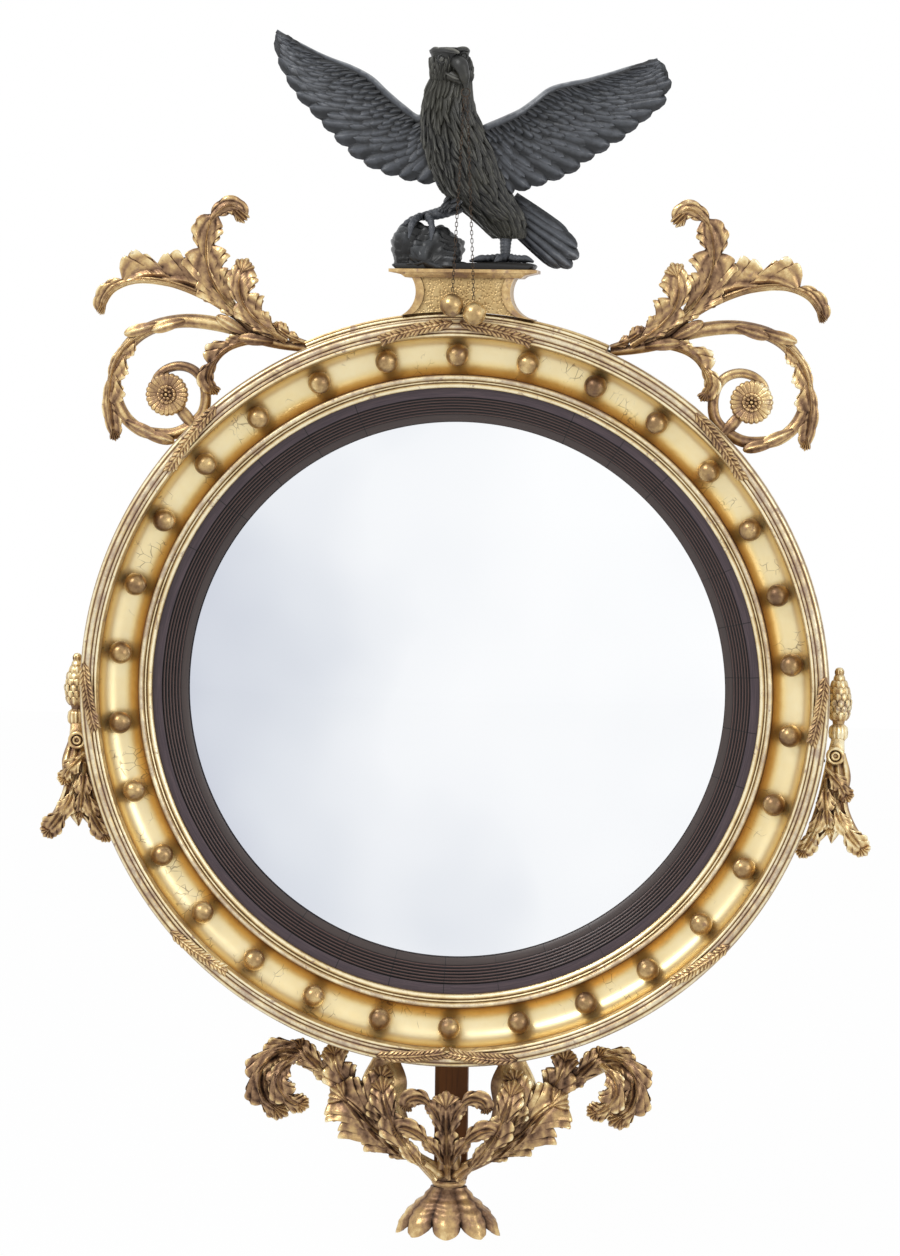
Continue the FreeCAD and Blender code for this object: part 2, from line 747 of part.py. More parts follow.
def chain_tilt(side):
    """The two balls lie side by side, which holds the chains apart at the bottom."""
    drop = hung_length("right") - hung_length("left")
    reach = math.sqrt((ball_d + hung_ball_gap) ** 2 - drop ** 2)
    apart = (reach - abs(sway_point("right").x - sway_point("left").x)) / 2
    return math.asin(apart / hung_length(side)) * (-1 if side == "left" else 1)


def on_chain(side, distance):
    a = chain_tilt(side)
    return sway_point(side) + Vector(math.sin(a), 0, -math.cos(a)) * distance


def beak_ring():
    return Part.makeTorus(ring_r, ring_wire_r, beak_hole() - Vector(0, 0, ring_r), AXIS)


def top_link(side):
    shape = link(upright=False)
    shape.translate(top_link_centre(side))
    return shape


def chain(side):
    first = link_wire_r + link_play - link_half
    links = []
    for i in range(chain_links[side]):
        piece = link(upright=i % 2 == 0)
        piece.rotate(ORIGIN, AXIS, -math.degrees(chain_tilt(side)))
        piece.translate(on_chain(side, link_pitch * i - first))
        links.append(piece)
    return Part.makeCompound(links)


def hung_ball(side):
    centre = on_chain(side, hung_length(side))
    eye = Part.makeTorus(eye_r, eye_wire_r, on_chain(side, hung_length(side) - ball_r - eye_sink),
                         Vector(1, 0, 0))
    return joined([Part.makeSphere(ball_r, centre), eye])


# --- side scrolls (left one, mirrored for the right) ---

STEM = on_side(-45, [(117, 90), (91, 94), (59, 102), (31, 112), (1, 117), (-25, 117), (-51, 111),
                     (-71, 99), (-86, 80), (-93, 59), (-92, 34), (-82, 13), (-65, -1), (-47, -5),
                     (-27, -4), (-10, 5), (3, 19), (6, 37), (2, 54), (-8, 65), (-22, 69),
                     (-36, 66), (-47, 57), (-50, 47)])
FROND_LOW = on_side(-45, [(85, 99), (59, 110), (35, 127), (11, 142), (-22, 156), (-52, 162),
                          (-76, 160), (-95, 151), (-106, 137), (-110, 125)])
FROND_HIGH = on_side(-45, [(71, 103), (41, 127), (23, 147), (11, 170), (8, 194), (11, 218),
                           (19, 233), (33, 242), (44, 239), (48, 227)])
FROND_NEAR = on_side(-45, [(95, 97), (73, 111), (55, 127), (45, 147), (45, 167), (51, 181)])
SPRIG = on_side(-45, [(117, 95), (97, 103), (81, 115)])
LEAF_DOWN = on_side(-45, [(67, 99), (41, 93), (25, 84), (14, 69), (10, 55), (18, 41)])
LEAF_WRAP = on_side(-45, [(-59, 107), (-79, 91), (-93, 69), (-98, 44), (-98, 17), (-93, -11)])


ROSETTE_MID, STEM_END, *STALK = on_side(-45, [(-35, 38), (-46, 52), (-5, 3), (-15, 15), (-25, 27)])


def scroll_leaves():
    low = lobed_outline(FROND_LOW, [(0.2, 7), (0.45, 8), (0.9, 4)],
                        [(0.3, 14), (0.42, 26), (0.56, 33), (0.7, 32), (0.82, 16), (0.92, 8)], 6)
    high = lobed_outline(FROND_HIGH, [(0.25, 10), (0.38, 20), (0.5, 25), (0.62, 18), (0.8, 10),
                                      (0.92, 9)],
                         [(0.3, 8), (0.42, 22), (0.5, 26), (0.6, 8), (0.8, 7), (0.92, 9)], 7)
    near = lobed_outline(FROND_NEAR, [(0.3, 10), (0.5, 14), (0.72, 10)],
                         [(0.3, 12), (0.48, 18), (0.64, 17), (0.82, 14)], 7)
    sprig = lobed_outline(SPRIG, [(0.3, 5), (0.7, 6)], [(0.3, 7), (0.66, 9)], 4)
    down = lobed_outline(LEAF_DOWN, [(0.3, 3), (0.9, 6)],
                         [(0.25, 10), (0.42, 16), (0.6, 15), (0.78, 11), (0.92, 7)], 5)
    wrap = lobed_outline(LEAF_WRAP, [(0.2, 8), (0.42, 12), (0.62, 12), (0.8, 5)],
                         [(0.3, 4), (0.7, 4)], 5)
    return [leaf(low, FROND_LOW[0], FROND_LOW[-2], [-44, -46, -56, -52, -38], 7.0),
            leaf(high, FROND_HIGH[0], FROND_HIGH[6], [-46, -52, -58, -62, -54], 7.0),
            leaf(near, FROND_NEAR[0], FROND_NEAR[-1], [-48, -54, -60, -54], 7.0),
            leaf(sprig, SPRIG[0], SPRIG[-1], [-44, -46, -48], 6.0),
            leaf(down, LEAF_DOWN[0], LEAF_DOWN[-1], [-44, -48, -50, -44], 7.0),
            leaf(wrap, LEAF_WRAP[0], LEAF_WRAP[-1], [-44, -46, -46, -38], 8.0)]


def side_scroll():
    points = [(x, scroll_y, z) for x, z in STEM]
    stem = round_bar(points, [5.0, 7.5, 8.2, 7.6, 7.2, 7.0, 7.0, 6.4, 5.6,
                              stem_end_r], 46)
    stalk = round_bar([(x, scroll_y, z) for x, z in STALK], [6.0, 7.5, 6.0], 5)
    ring = Part.makeCylinder(side_r + gap, 200, Vector(0, -150, 0), AXIS)
    rim = turned((side_r, shoulder_y + rim_lap + gap),
                 [(rim_r + gap, shoulder_y + rim_lap + gap), (rim_r + gap, rim_front_y - 30),
                  (side_r, rim_front_y - 30)])
    rail = turned((side_r, 10.0), [(side_r + 60, 10.0), (side_r + 60, -150.0), (side_r, -150.0)],
                  -rail_angle - 0.1, rail_angle)
    seat = Part.makeCylinder(rosette_r + 1, 60, rosette_back() + AXIS * gap, AXIS * -1)
    holes = [rosette_hole(), seat, *scroll_pins(pin_gap)]
    shape = joined([stem, stalk] + scroll_leaves())
    return biggest(shape.cut(Part.makeCompound([ring, rim, rail] + holes)))


def rosette_hole():
    start = Vector(STEM_END[0], scroll_y - 12, STEM_END[1])
    return Part.makeCylinder(scroll_pin_r + pin_gap, 16, start, AXIS)


def rosette_back():
    """Centre of the rosette's rear face, just in front of the stem's end."""
    return Vector(ROSETTE_MID[0], scroll_y - stem_end_r - 2.1, ROSETTE_MID[1])


def rosette():
    """A small sixteen-petalled flower with a domed eye."""
    centre = rosette_back()
    front = Vector(0, -1, 0)
    pieces = [Part.makeCone(rosette_r - 5.0, rosette_r - 8.0, rosette_t, centre, front)]
    for i in range(rosette_petals):
        a = 2 * math.pi * i / rosette_petals
        p = centre + Vector(math.cos(a), 0, math.sin(a)) * (rosette_r - 4.4)
        pieces.append(Part.makeCylinder(4.4, rosette_t * 0.6, p, front))
    pieces.append(Part.makeSphere(7.5, centre + front * (rosette_t - 3.0)))
    keep = Part.makeCylinder(rosette_r + 5, 30, centre, front)
    return biggest(joined(pieces).common(keep).cut(rosette_hole()))


def rosette_pins():
    start = Vector(STEM_END[0], scroll_y - 11, STEM_END[1])
    left = Part.makeCylinder(scroll_pin_r, 13, start, AXIS)
    return Part.makeCompound([left, left.mirror(ORIGIN, Vector(1, 0, 0))])


def scroll_pins(grow=0.0):
    """Steel pins on the left: one into the ring's side, one into the rail's end."""
    a = polar(side_r - 18 - grow, -44.9, scroll_y)
    outward = Vector(a.x, 0, a.z).normalize()
    ring_pin = Part.makeCylinder(scroll_pin_r + grow, 28 + 2 * grow, a, outward)
    b = polar(rail_r + rail_h * 0.55, -rail_angle, scroll_y)
    tangent = Vector(-math.cos(math.radians(rail_angle)), 0, -math.sin(math.radians(rail_angle)))
    start = b - tangent * (12 + grow)
    rail_pin = Part.makeCylinder(scroll_pin_r + grow, 24 + 2 * grow, start, tangent)
    return [ring_pin, rail_pin]


# --- side drops (right one, mirrored for the left) ---

DROP_LEAF = on_side(90, [(6, -48), (29, -48), (30, -72), (35, -80), (32, -96), (35, -104),
                         (24, -110), (29, -128), (42, -142), (51, -156), (53, -171), (43, -166),
                         (32, -160), (27, -148), (20, -158), (6, -150), (-2, -160), (-14, -166),
                         (-25, -171), (-18, -146), (-6, -116), (1, -84)])


def side_drop():
    bud_mid = Vector(drop_x, drop_y, 2)
    profile = [(0, 28), (5, 25), (9.5, 16), (12, 4), (11, -10), (7.5, -22), (5, -27), (0, -27)]
    wire = Part.makePolygon([bud_mid + Vector(r / 12 * drop_bud_r, 0, z) for r, z in profile]
                            + [bud_mid + Vector(0, 0, 28)])
    bud = Part.Face(wire).revolve(bud_mid, Vector(0, 0, 1), 360)
    knot = Part.makeCylinder(10.5, 18, Vector(drop_x - 1, drop_y, -45))
    knot = joined([knot] + [Part.makeCylinder(3.2, 18, Vector(drop_x - 1 + 9.5 * math.cos(a),
                                                             drop_y + 9.5 * math.sin(a), -45))
                            for a in [math.pi * k / 4 for k in range(8)]])
    eye = Part.makeSphere(11.0, Vector(drop_x - 3, drop_y - 8, -64))
    spray = leaf(DROP_LEAF, (drop_x, -48), (drop_x, -171), [-42, -48, -52, -54, -48], 14.0)
    neck = Part.makeCylinder(5.0, 46, Vector(drop_x - 1, drop_y, -60))
    ring = Part.makeCylinder(side_r + gap, 200, Vector(0, -150, 0), AXIS)
    rim = turned((side_r, shoulder_y + rim_lap + gap),
                 [(rim_r + gap, shoulder_y + rim_lap + gap), (rim_r + gap, rim_front_y - 30),
                  (side_r, rim_front_y - 30)])
    shape = joined([bud, knot, eye, spray, neck])
    return biggest(shape.cut(Part.makeCompound([ring, rim] + drop_pins(pin_gap))))


def drop_pins(grow=0.0):
    """Two steel pins into the ring's right side, behind the bud and behind the leaf."""
    pins = []
    for clock in (90.0, 99.5):
        a = polar(side_r - 16 - grow, clock, drop_y)
        outward = Vector(a.x, 0, a.z).normalize()
        pins.append(Part.makeCylinder(scroll_pin_r + grow, 26 + 2 * grow, a, outward))
    return pins


# --- apron ---

SPRAY_STEM = on_side(180, [(-10, -131), (-34, -119), (-60, -102), (-84, -76), (-102, -51),
                           (-122, -32), (-146, -22), (-166, -12)])
SPRAY_LEAF = on_side(180, [(-24, -124), (-54, -106), (-80, -82), (-102, -58), (-124, -42)])
VOLUTE = on_side(180, [(-158, -4), (-178, 0), (-198, -8), (-207, -26), (-202, -48), (-184, -64)])
INNER_LEAF = on_side(180, [(-12, -135), (-34, -110), (-54, -80), (-66, -50), (-72, -26)])
INNER_FOOT = [(-6, -46, apron_z + 6), (-14, -58, apron_z + 11), (-26, -66, apron_z + 22)]
CENTRE_LEAF = on_side(180, [(0, -136), (0, -102), (0, -64), (0, -32)])


def apron_core(cuts):
    core = Part.makeCylinder(core_r, 44, Vector(0, core_y, apron_z - 10))
    back = box(-40, 40, -batten_t - batten_skin - 0.2, 40, apron_z - 100, apron_z + 100)
    return biggest(core.cut(Part.makeCompound([back] + cuts)))


def core_room():
    return Part.makeCylinder(core_r + gap, 90, Vector(0, core_y, apron_z - 30))


def apron_spray():
    """A big acanthus stem with its lobed leaf and the drooping leaf at its head."""
    y = -32.0
    stem = round_bar([(x, y, z) for x, z in SPRAY_STEM], [7.0, 8.0, 8.0, 7.0, 7.0, 6.0], 16)
    main = lobed_outline(SPRAY_LEAF, [(0.3, 16), (0.5, 26), (0.7, 33), (0.92, 30)],
                         [(0.25, 10), (0.45, 18), (0.65, 26), (0.85, 30)], 7)
    head = lobed_outline(VOLUTE, [(0.12, 14), (0.3, 12), (0.48, 14), (0.66, 14), (0.84, 12)],
                         [(0.15, 12), (0.34, 20), (0.52, 25), (0.7, 22), (0.88, 14)], 9)
    pieces = [stem, leaf(main, SPRAY_LEAF[0], SPRAY_LEAF[-1], [-38, -44, -56, -62, -52], 12.0),
              leaf(head, VOLUTE[0], VOLUTE[-1], [-34, -44, -64, -72, -60], 12.0)]
    tools = [core_room(), Part.makeCylinder(rim_r + gap, 200, Vector(0, -150, 0), AXIS),
             apron_batten_room()]
    return biggest(joined(pieces).cut(Part.makeCompound(tools)))


def apron_inner_leaf():
    outline = lobed_outline(INNER_LEAF, [(0.35, 9), (0.55, 13), (0.75, 14), (0.92, 10)],
                            [(0.35, 9), (0.55, 14), (0.75, 16), (0.92, 10)], 5)
    blade = leaf(outline, INNER_LEAF[0], INNER_LEAF[-1], [-66, -68, -76, -82, -70], 6.0)
    foot = round_bar(INNER_FOOT, [4.0, 5.0, 3.5], 5)
    shape = joined([blade, foot]).cut(core_room())
    return biggest(shape.cut(box(-6.3, 40, -200, 40, apron_z - 60, apron_z + 160)))


def apron_centre_leaf():
    outline = lobed_outline(CENTRE_LEAF, [(0.3, 10), (0.5, 16), (0.72, 22), (0.9, 26)],
                            [(0.3, 10), (0.5, 16), (0.72, 22), (0.9, 26)], 6.0)
    blade = leaf(outline, CENTRE_LEAF[0], CENTRE_LEAF[-1], [-48, -56, -74, -88, -92], 6.0)
    room = [core_room()] + list(both_sides(lambda: apron_inner_leaf_room()).values())
    return biggest(blade.cut(Part.makeCompound(room)))


def apron_inner_leaf_room():
    """Room for the inner leaf's foot beside the centre leaf."""
    room = round_bar(INNER_FOOT, [4.0 + gap, 5.0 + gap, 3.5 + gap], 5)
    return room.common(box(-60, -6.0, -200, 40, apron_z - 60, apron_z + 160))


def apron_collar():
    ring = Part.makeCylinder(collar_r, collar_h, Vector(0, core_y, apron_z - collar_h - 1))
    bead = Part.makeTorus(collar_r - 1.5, 3.0, Vector(0, core_y, apron_z - collar_h / 2 - 1),
                          Vector(0, 0, 1))
    back = box(-40, 40, -2.0, 40, apron_z - 100, apron_z + 100)
    return biggest(ring.fuse(bead).cut(Part.makeCompound([core_room(), back,
                                                           apron_batten_room()])))


def apron_drop():
    """A half-open bell of nine leaves that hangs from the collar."""
    top = apron_z - collar_h - 1 - gap - 1.5
    profile = [(core_r + gap, 0), (20, -2), (36, -14), (48, -30), (finial_r, -finial_h),
               (finial_r - finial_t, -finial_h), (44 - finial_t / 2, -32), (33, -18), (18, -7),
               (core_r + gap, -5)]
    wire = Part.makePolygon([Vector(r, core_y, top + z) for r, z in profile + profile[:1]])
    bell = Part.Face(wire).revolve(Vector(0, core_y, 0), Vector(0, 0, 1), 360)
    cuts = [box(-90, 90, -2.0, 90, top - 90, top + 10)]
    for i in range(finial_leaves):
        a = math.radians(360 * (i + 0.5) / finial_leaves - 90)
        out = Vector(math.cos(a), math.sin(a), 0)
        side = Vector(-out.y, out.x, 0) * 9.5
        low = Vector(0, core_y, top - finial_h - 1)
        tri = [low + out * 30 + side, low + out * 30 - side, low + out * 36 + Vector(0, 0, 34)]
        face = Part.Face(Part.makePolygon(tri + [tri[0]]))
        cuts.append(face.extrude(out * 60))
    return biggest(bell.cut(Part.makeCompound(cuts)))


def apron_batten_room():
    return batten(apron_z - collar_h, -back_r, 0.0, gap)


# --- hanging plates ---

def hang_places():
    return [polar(hang_r, sign * hang_angle) for sign in (-1, 1)]


def hanging_plates(grow=0.0):
    plates = []
    for sign, p in zip((-1, 1), hang_places()):
        half_l, half_w = hang_plate_l / 2 + grow, hang_plate_w / 2 + grow
        plate = box(-half_l, half_l, -hang_plate_t - grow, 0, -half_w, half_w)
        plate.rotate(ORIGIN, AXIS, sign * hang_angle)
        plate.translate(p)
        plates.append(plate)
    return plates


def hang_screw_places():
    places = []
    for sign, p in zip((-1, 1), hang_places()):
        a = math.radians(sign * hang_angle)
        for s in (-hang_screw_x, hang_screw_x):
            places.append(p + Vector(math.cos(a), 0, -math.sin(a)) * s)
    return places


def save(name, shape):
    """Write one piece, after a look at its solids."""
    assert shape.isValid() and shape.Volume > 0, name
    shape.exportStep(f"parts/{name}.step")
    print(f"{name}: {len(shape.Solids)} solid(s), {shape.Volume / 1000:.2f} cm3")


def main():
    os.makedirs("parts", exist_ok=True)
    back_ring_r = (rebate_r + back_r) / 2
    back_places = [polar(back_ring_r, i * 360 / backboard_screw_count + 22.5)
                   for i in range(backboard_screw_count)]
    board_screws, board_holes = screw_set(back_places, 22.0)
    crest_bottom, crest_top = back_r + 4, plinth_top_z - 6
    apron_bottom, apron_top = apron_z - collar_h, -back_r - 4
    skin = Vector(0, -batten_skin, 0)
    crest_places = [Vector(x, 0, z) + skin for x, z in
                    ((-9, back_r + 14), (9, side_r - 12), (-9, rail_out_r + 8), (9, rail_out_r + 20))]
    crest_screws, crest_holes = screw_set(crest_places, 34.0)
    apron_places = [Vector(x, 0, z) + skin for x, z in
                    ((-9, -back_r - 14), (9, -side_r + 12), (0, apron_z + 22), (0, apron_z + 4))]
    apron_screws, apron_holes = screw_set(apron_places, 28.0)
    plate_screws, plate_holes = screw_set(hang_screw_places(), 16.0)
    hang_holes = [Part.makeCylinder(hang_hole_r, 40, p - AXIS * 20, AXIS) for p in hang_places()]
    pockets = [Part.makeCylinder(hang_pocket_r, hang_pocket_d, p, Vector(0, -1, 0))
               for p in hang_places()]
    scroll_pin_set = both_sides(lambda: Part.makeCompound(scroll_pins()))
    scroll_pin_holes = both_sides(lambda: Part.makeCompound(scroll_pins(pin_gap)))
    drop_pin_set = both_sides(lambda: Part.makeCompound(drop_pins()))
    drop_pin_holes = both_sides(lambda: Part.makeCompound(drop_pins(pin_gap)))
    pin_holes = list(scroll_pin_holes.values()) + list(drop_pin_holes.values())
    crest_slot = batten(crest_bottom, crest_top, 0.0, 0.2)
    apron_slot = batten(apron_bottom, apron_top, 0.0, 0.2)

    ring_cuts = ball_holes() + board_holes + crest_holes[:6] + apron_holes[:6] + plate_holes
    ring_cuts += hanging_plates(0.2) + pockets + pin_holes + [crest_slot, apron_slot]
    save("cove_ring", cove_ring(ring_cuts))
    save("reeded_rim", reeded_rim())
    save("inner_bead", inner_bead())
    save("ebonised_slip", ebonised_slip())
    save("mirror_plate", mirror_plate())
    save("glazing_blocks", glazing_blocks())
    save("backboard", backboard(board_holes))
    save("backboard_screws", board_screws)
    save("gilt_balls", gilt_balls())
    save("leaf_ties", leaf_ties())

    dowel_room = eagle_dowels(pin_gap)
    save("crest_rail", without(crest_rail(), pin_holes))
    save("crest_plinth", crest_plinth(crest_holes + dowel_room + [crest_slot]))
    save("plinth_panel", plinth_panel())
    save("plinth_stiles", plinth_stiles())
    save("plinth_cap", plinth_cap(dowel_room))
    save("crest_batten", without(batten(crest_bottom, crest_top), crest_holes))
    save("crest_screws", crest_screws)

    save("eagle_body", eagle_body())
    save("eagle_head", eagle_head())
    save("eagle_wing_left", wing(WING_LEFT, [-66, -58, -56, -60, -70]))
    save("eagle_wing_right", wing(WING_RIGHT, [-62, -56, -56, -62, -72]))
    save("eagle_tail", eagle_tail())
    save("eagle_leg_left", left_leg())
    save("eagle_leg_right", right_leg())
    save("eagle_rock", without(rock_solid(), dowel_room))
    save("eagle_dowels", Part.makeCompound(eagle_dowels()))

    save("beak_ring", beak_ring())
    for side in ("left", "right"):
        save(f"top_link_{side}", top_link(side))
        save(f"chain_{side}", chain(side))
        save(f"hung_ball_{side}", hung_ball(side))

    for side, shape in both_sides(side_scroll).items():
        save(f"scroll_{side}", shape)
    for side, shape in both_sides(rosette).items():
        save(f"rosette_{side}", shape)
    save("rosette_pins", rosette_pins())
    save("scroll_pins", Part.makeCompound(list(scroll_pin_set.values())))
    drop = side_drop()
    save("side_drop_right", drop)
    save("side_drop_left", drop.mirror(ORIGIN, Vector(1, 0, 0)))
    save("drop_pins", Part.makeCompound(list(drop_pin_set.values())))

    for side, shape in both_sides(apron_spray).items():
        save(f"apron_spray_{side}", shape)
    for side, shape in both_sides(apron_inner_leaf).items():
        save(f"apron_inner_leaf_{side}", shape)
    save("apron_centre_leaf", apron_centre_leaf())
    save("apron_core", apron_core(apron_holes))
    save("apron_collar", apron_collar())
    save("apron_drop", apron_drop())
    save("apron_batten", without(batten(apron_bottom, apron_top), apron_holes))
    save("apron_screws", apron_screws)
    plates = [without(p, plate_holes + hang_holes) for p in hanging_plates()]
    save("hanging_plates", Part.makeCompound(plates))
    save("plate_screws", plate_screws)


main()
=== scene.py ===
# %% [markdown]
# # A round convex mirror with an eagle on its crest
# The model of the mirror's construction is already there: every piece has its real size and place.
# This script dresses it. It makes the carved and polished surfaces that the eye sees, piece by
# piece, and gives each of them a finish. All sizes are in metres. X runs to the viewer's right,
# Z up, and the front faces -Y. The wall is the plane y = 0, and the mirror's axis is the Y axis.

# %% Load the frame
import math

import bpy
import numpy as np
from mathutils import Matrix, Vector


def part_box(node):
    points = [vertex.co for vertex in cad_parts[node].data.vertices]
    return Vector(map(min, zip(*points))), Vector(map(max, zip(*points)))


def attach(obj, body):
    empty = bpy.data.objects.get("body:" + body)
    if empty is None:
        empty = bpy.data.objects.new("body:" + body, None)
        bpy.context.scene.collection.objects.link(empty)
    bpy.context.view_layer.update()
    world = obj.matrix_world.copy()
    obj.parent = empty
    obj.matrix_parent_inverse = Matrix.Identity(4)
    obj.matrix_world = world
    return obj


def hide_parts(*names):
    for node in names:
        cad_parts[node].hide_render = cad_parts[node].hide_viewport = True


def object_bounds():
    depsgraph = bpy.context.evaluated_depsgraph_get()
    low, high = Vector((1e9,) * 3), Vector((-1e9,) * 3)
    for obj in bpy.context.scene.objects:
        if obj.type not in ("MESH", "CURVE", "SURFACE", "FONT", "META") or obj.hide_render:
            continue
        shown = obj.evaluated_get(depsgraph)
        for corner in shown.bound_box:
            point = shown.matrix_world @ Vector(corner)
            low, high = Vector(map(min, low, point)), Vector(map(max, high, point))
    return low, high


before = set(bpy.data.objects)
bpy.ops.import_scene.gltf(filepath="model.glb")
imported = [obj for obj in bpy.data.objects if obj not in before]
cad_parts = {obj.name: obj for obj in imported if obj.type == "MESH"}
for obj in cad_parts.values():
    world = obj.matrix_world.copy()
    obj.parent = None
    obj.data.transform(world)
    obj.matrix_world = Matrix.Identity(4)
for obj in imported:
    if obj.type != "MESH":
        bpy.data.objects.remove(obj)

cad_low, cad_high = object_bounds()
print("construction box:", [round(v, 3) for v in cad_low], [round(v, 3) for v in cad_high])

# %% [markdown]
# ## Camera, light and ground
# The photograph was taken from a little to the right of the middle and a little above it, with
# a long lens, and it leans by less than a degree. A long lens could be copied with a shift or a
# crop, but a plain camera at the right place gives the same picture from honest numbers.
# The light is soft and even, as in a studio with large lamps: a big one from the upper left, a
# weaker one from the right, and a pale world all round.

# %% Camera
view_side = math.radians(4.5)      # to the right of the mirror's axis
view_rise = math.radians(4.5)      # above it
view_roll = math.radians(0.7)
view_target = Vector((-0.00416, -0.060, 0.07162))
view_distance = 4.0
lens_pixels = 3703.7               # focal length in pixels of the 900 x 1256 photograph
photo_height = 1256
sensor = 36.0

back = Vector((math.sin(view_side) * math.cos(view_rise), -math.cos(view_side) * math.cos(view_rise),
               math.sin(view_rise)))
right = Vector((math.cos(view_side), math.sin(view_side), 0.0))
up = back.cross(right)
cam_x = right * math.cos(view_roll) + up * math.sin(view_roll)
cam_y = up * math.cos(view_roll) - right * math.sin(view_roll)
camera_data = bpy.data.cameras.new("camera")
camera_data.sensor_width = sensor
camera_data.lens = lens_pixels / photo_height * sensor
camera = bpy.data.objects.new("camera", camera_data)
turn = Matrix((cam_x, cam_y, back)).transposed().to_4x4()
camera.matrix_world = Matrix.Translation(view_target + back * view_distance) @ turn
bpy.context.scene.collection.objects.link(camera)
bpy.context.scene.camera = camera
bpy.context.scene.view_settings.view_transform = "Standard"
print("camera at", [round(v, 2) for v in camera.matrix_world.translation], "lens", round(camera_data.lens, 1))


# %% Lamps
def lamp(name, place, aim, size, watts, colour=(1, 1, 1)):
    """A square softbox that looks from one point to another."""
    data = bpy.data.lights.new(name, "AREA")
    data.size, data.energy, data.color = size, watts, colour
    obj = bpy.data.objects.new(name, data)
    direction = Vector(aim) - Vector(place)
    obj.matrix_world = Matrix.Translation(place) @ direction.to_track_quat("-Z", "Y").to_matrix().to_4x4()
    bpy.context.scene.collection.objects.link(obj)


lamp("key", (-1.9, -2.3, 2.5), (0, 0, 0.05), 1.5, 62)
lamp("fill", (2.4, -2.2, 0.7), (0, 0, 0.0), 1.6, 20)
lamp("low", (0.2, -2.4, -1.6), (0, 0, -0.2), 1.2, 7)


# %% World and floor
def light_path_sum(nodes, links, kinds):
    """One number that is 1 for rays of these kinds: the outputs of the Light Path node, added."""
    path = nodes.new("ShaderNodeLightPath")
    total = path.outputs[kinds[0]]
    for kind in kinds[1:]:
        add = nodes.new("ShaderNodeMath")
        add.operation = "MAXIMUM"
        links.new(total, add.inputs[0])
        links.new(path.outputs[kind], add.inputs[1])
        total = add.outputs[0]
    return total


SEEN = ["Is Camera Ray", "Is Glossy Ray", "Is Transmission Ray"]
world = bpy.data.worlds.new("pale studio")
bpy.context.scene.world = world
world.use_nodes = True
wn, wl = world.node_tree.nodes, world.node_tree.links
wn.clear()
white, soft = wn.new("ShaderNodeBackground"), wn.new("ShaderNodeBackground")
white.inputs["Color"].default_value = (1, 1, 1, 1)
soft.inputs["Color"].default_value = (0.93, 0.96, 1.0, 1)
soft.inputs["Strength"].default_value = 0.55
world_mix, world_out = wn.new("ShaderNodeMixShader"), wn.new("ShaderNodeOutputWorld")
wl.new(light_path_sum(wn, wl, SEEN), world_mix.inputs[0])
wl.new(soft.outputs[0], world_mix.inputs[1])
wl.new(white.outputs[0], world_mix.inputs[2])
wl.new(world_mix.outputs[0], world_out.inputs[0])

floor_drop = 0.06                  # the mirror hangs clear of the ground
floor_half = 6.0
paper_white = 0.98                 # how much of the floor is plain white to the camera
floor_z = cad_low[2] - floor_drop
floor_mesh = bpy.data.meshes.new("floor")
corners = [(-1, -1), (1, -1), (1, 1), (-1, 1)]
floor_mesh.from_pydata([(x * floor_half, y * floor_half, floor_z) for x, y in corners], [], [(0, 1, 2, 3)])
floor = bpy.data.objects.new("floor", floor_mesh)
bpy.context.scene.collection.objects.link(floor)
paper = bpy.data.materials.new("white paper floor")
paper.use_nodes = True
fn, fl = paper.node_tree.nodes, paper.node_tree.links
paper_skin = fn["Principled BSDF"]
paper_skin.inputs["Base Color"].default_value = (0.86, 0.87, 0.9, 1)
paper_skin.inputs["Roughness"].default_value = 0.9
glow, floor_mix, share = (fn.new("ShaderNode" + kind) for kind in ("Emission", "MixShader", "Math"))
share.operation = "MULTIPLY"
share.inputs[1].default_value = paper_white
fl.new(light_path_sum(fn, fl, SEEN), share.inputs[0])
fl.new(share.outputs[0], floor_mix.inputs[0])
fl.new(paper_skin.outputs[0], floor_mix.inputs[1])
fl.new(glow.outputs[0], floor_mix.inputs[2])
fl.new(floor_mix.outputs[0], fn["Material Output"].inputs[0])
floor_mesh.materials.append(paper)
print("floor at z =", round(floor_z, 3))

# %% [markdown]
# ## From numbers to a mesh
# Nearly every carved or turned thing is a closed skin that can be described by rings: a stem is
# rings along a path, a leaf is flat rings along its rib, and a moulding is one profile that is
# carried round a circle. A modeller could push points by hand or stack modifiers, but with numpy
# the whole skin is one formula. So one builder takes an array of rings and makes the faces.
# The array may hold hundreds of such skins at once, which is how feathers and leaves are made.


# %% The mesh builder
def ring_faces(rings, points, loop):
    """Faces of one skin. Ring i and ring i + 1 are joined by squares, and each ring closes on
    itself. With loop the last ring joins the first. Without it, both ends close on a pole."""
    i, j = np.meshgrid(np.arange(rings if loop else rings - 1), np.arange(points), indexing="ij")
    i2, j2 = (i + 1) % rings, (j + 1) % points
    squares = np.stack([i * points + j, i * points + j2, i2 * points + j2, i2 * points + j], -1)
    k = np.arange(points)
    k2 = (k + 1) % points
    last = (rings - 1) * points
    pole = np.full(points, rings * points)
    caps = np.concatenate([np.stack([pole, k2, k], -1), np.stack([pole + 1, last + k, last + k2], -1)])
    return squares.reshape(-1, 4), (caps[:0] if loop else caps)


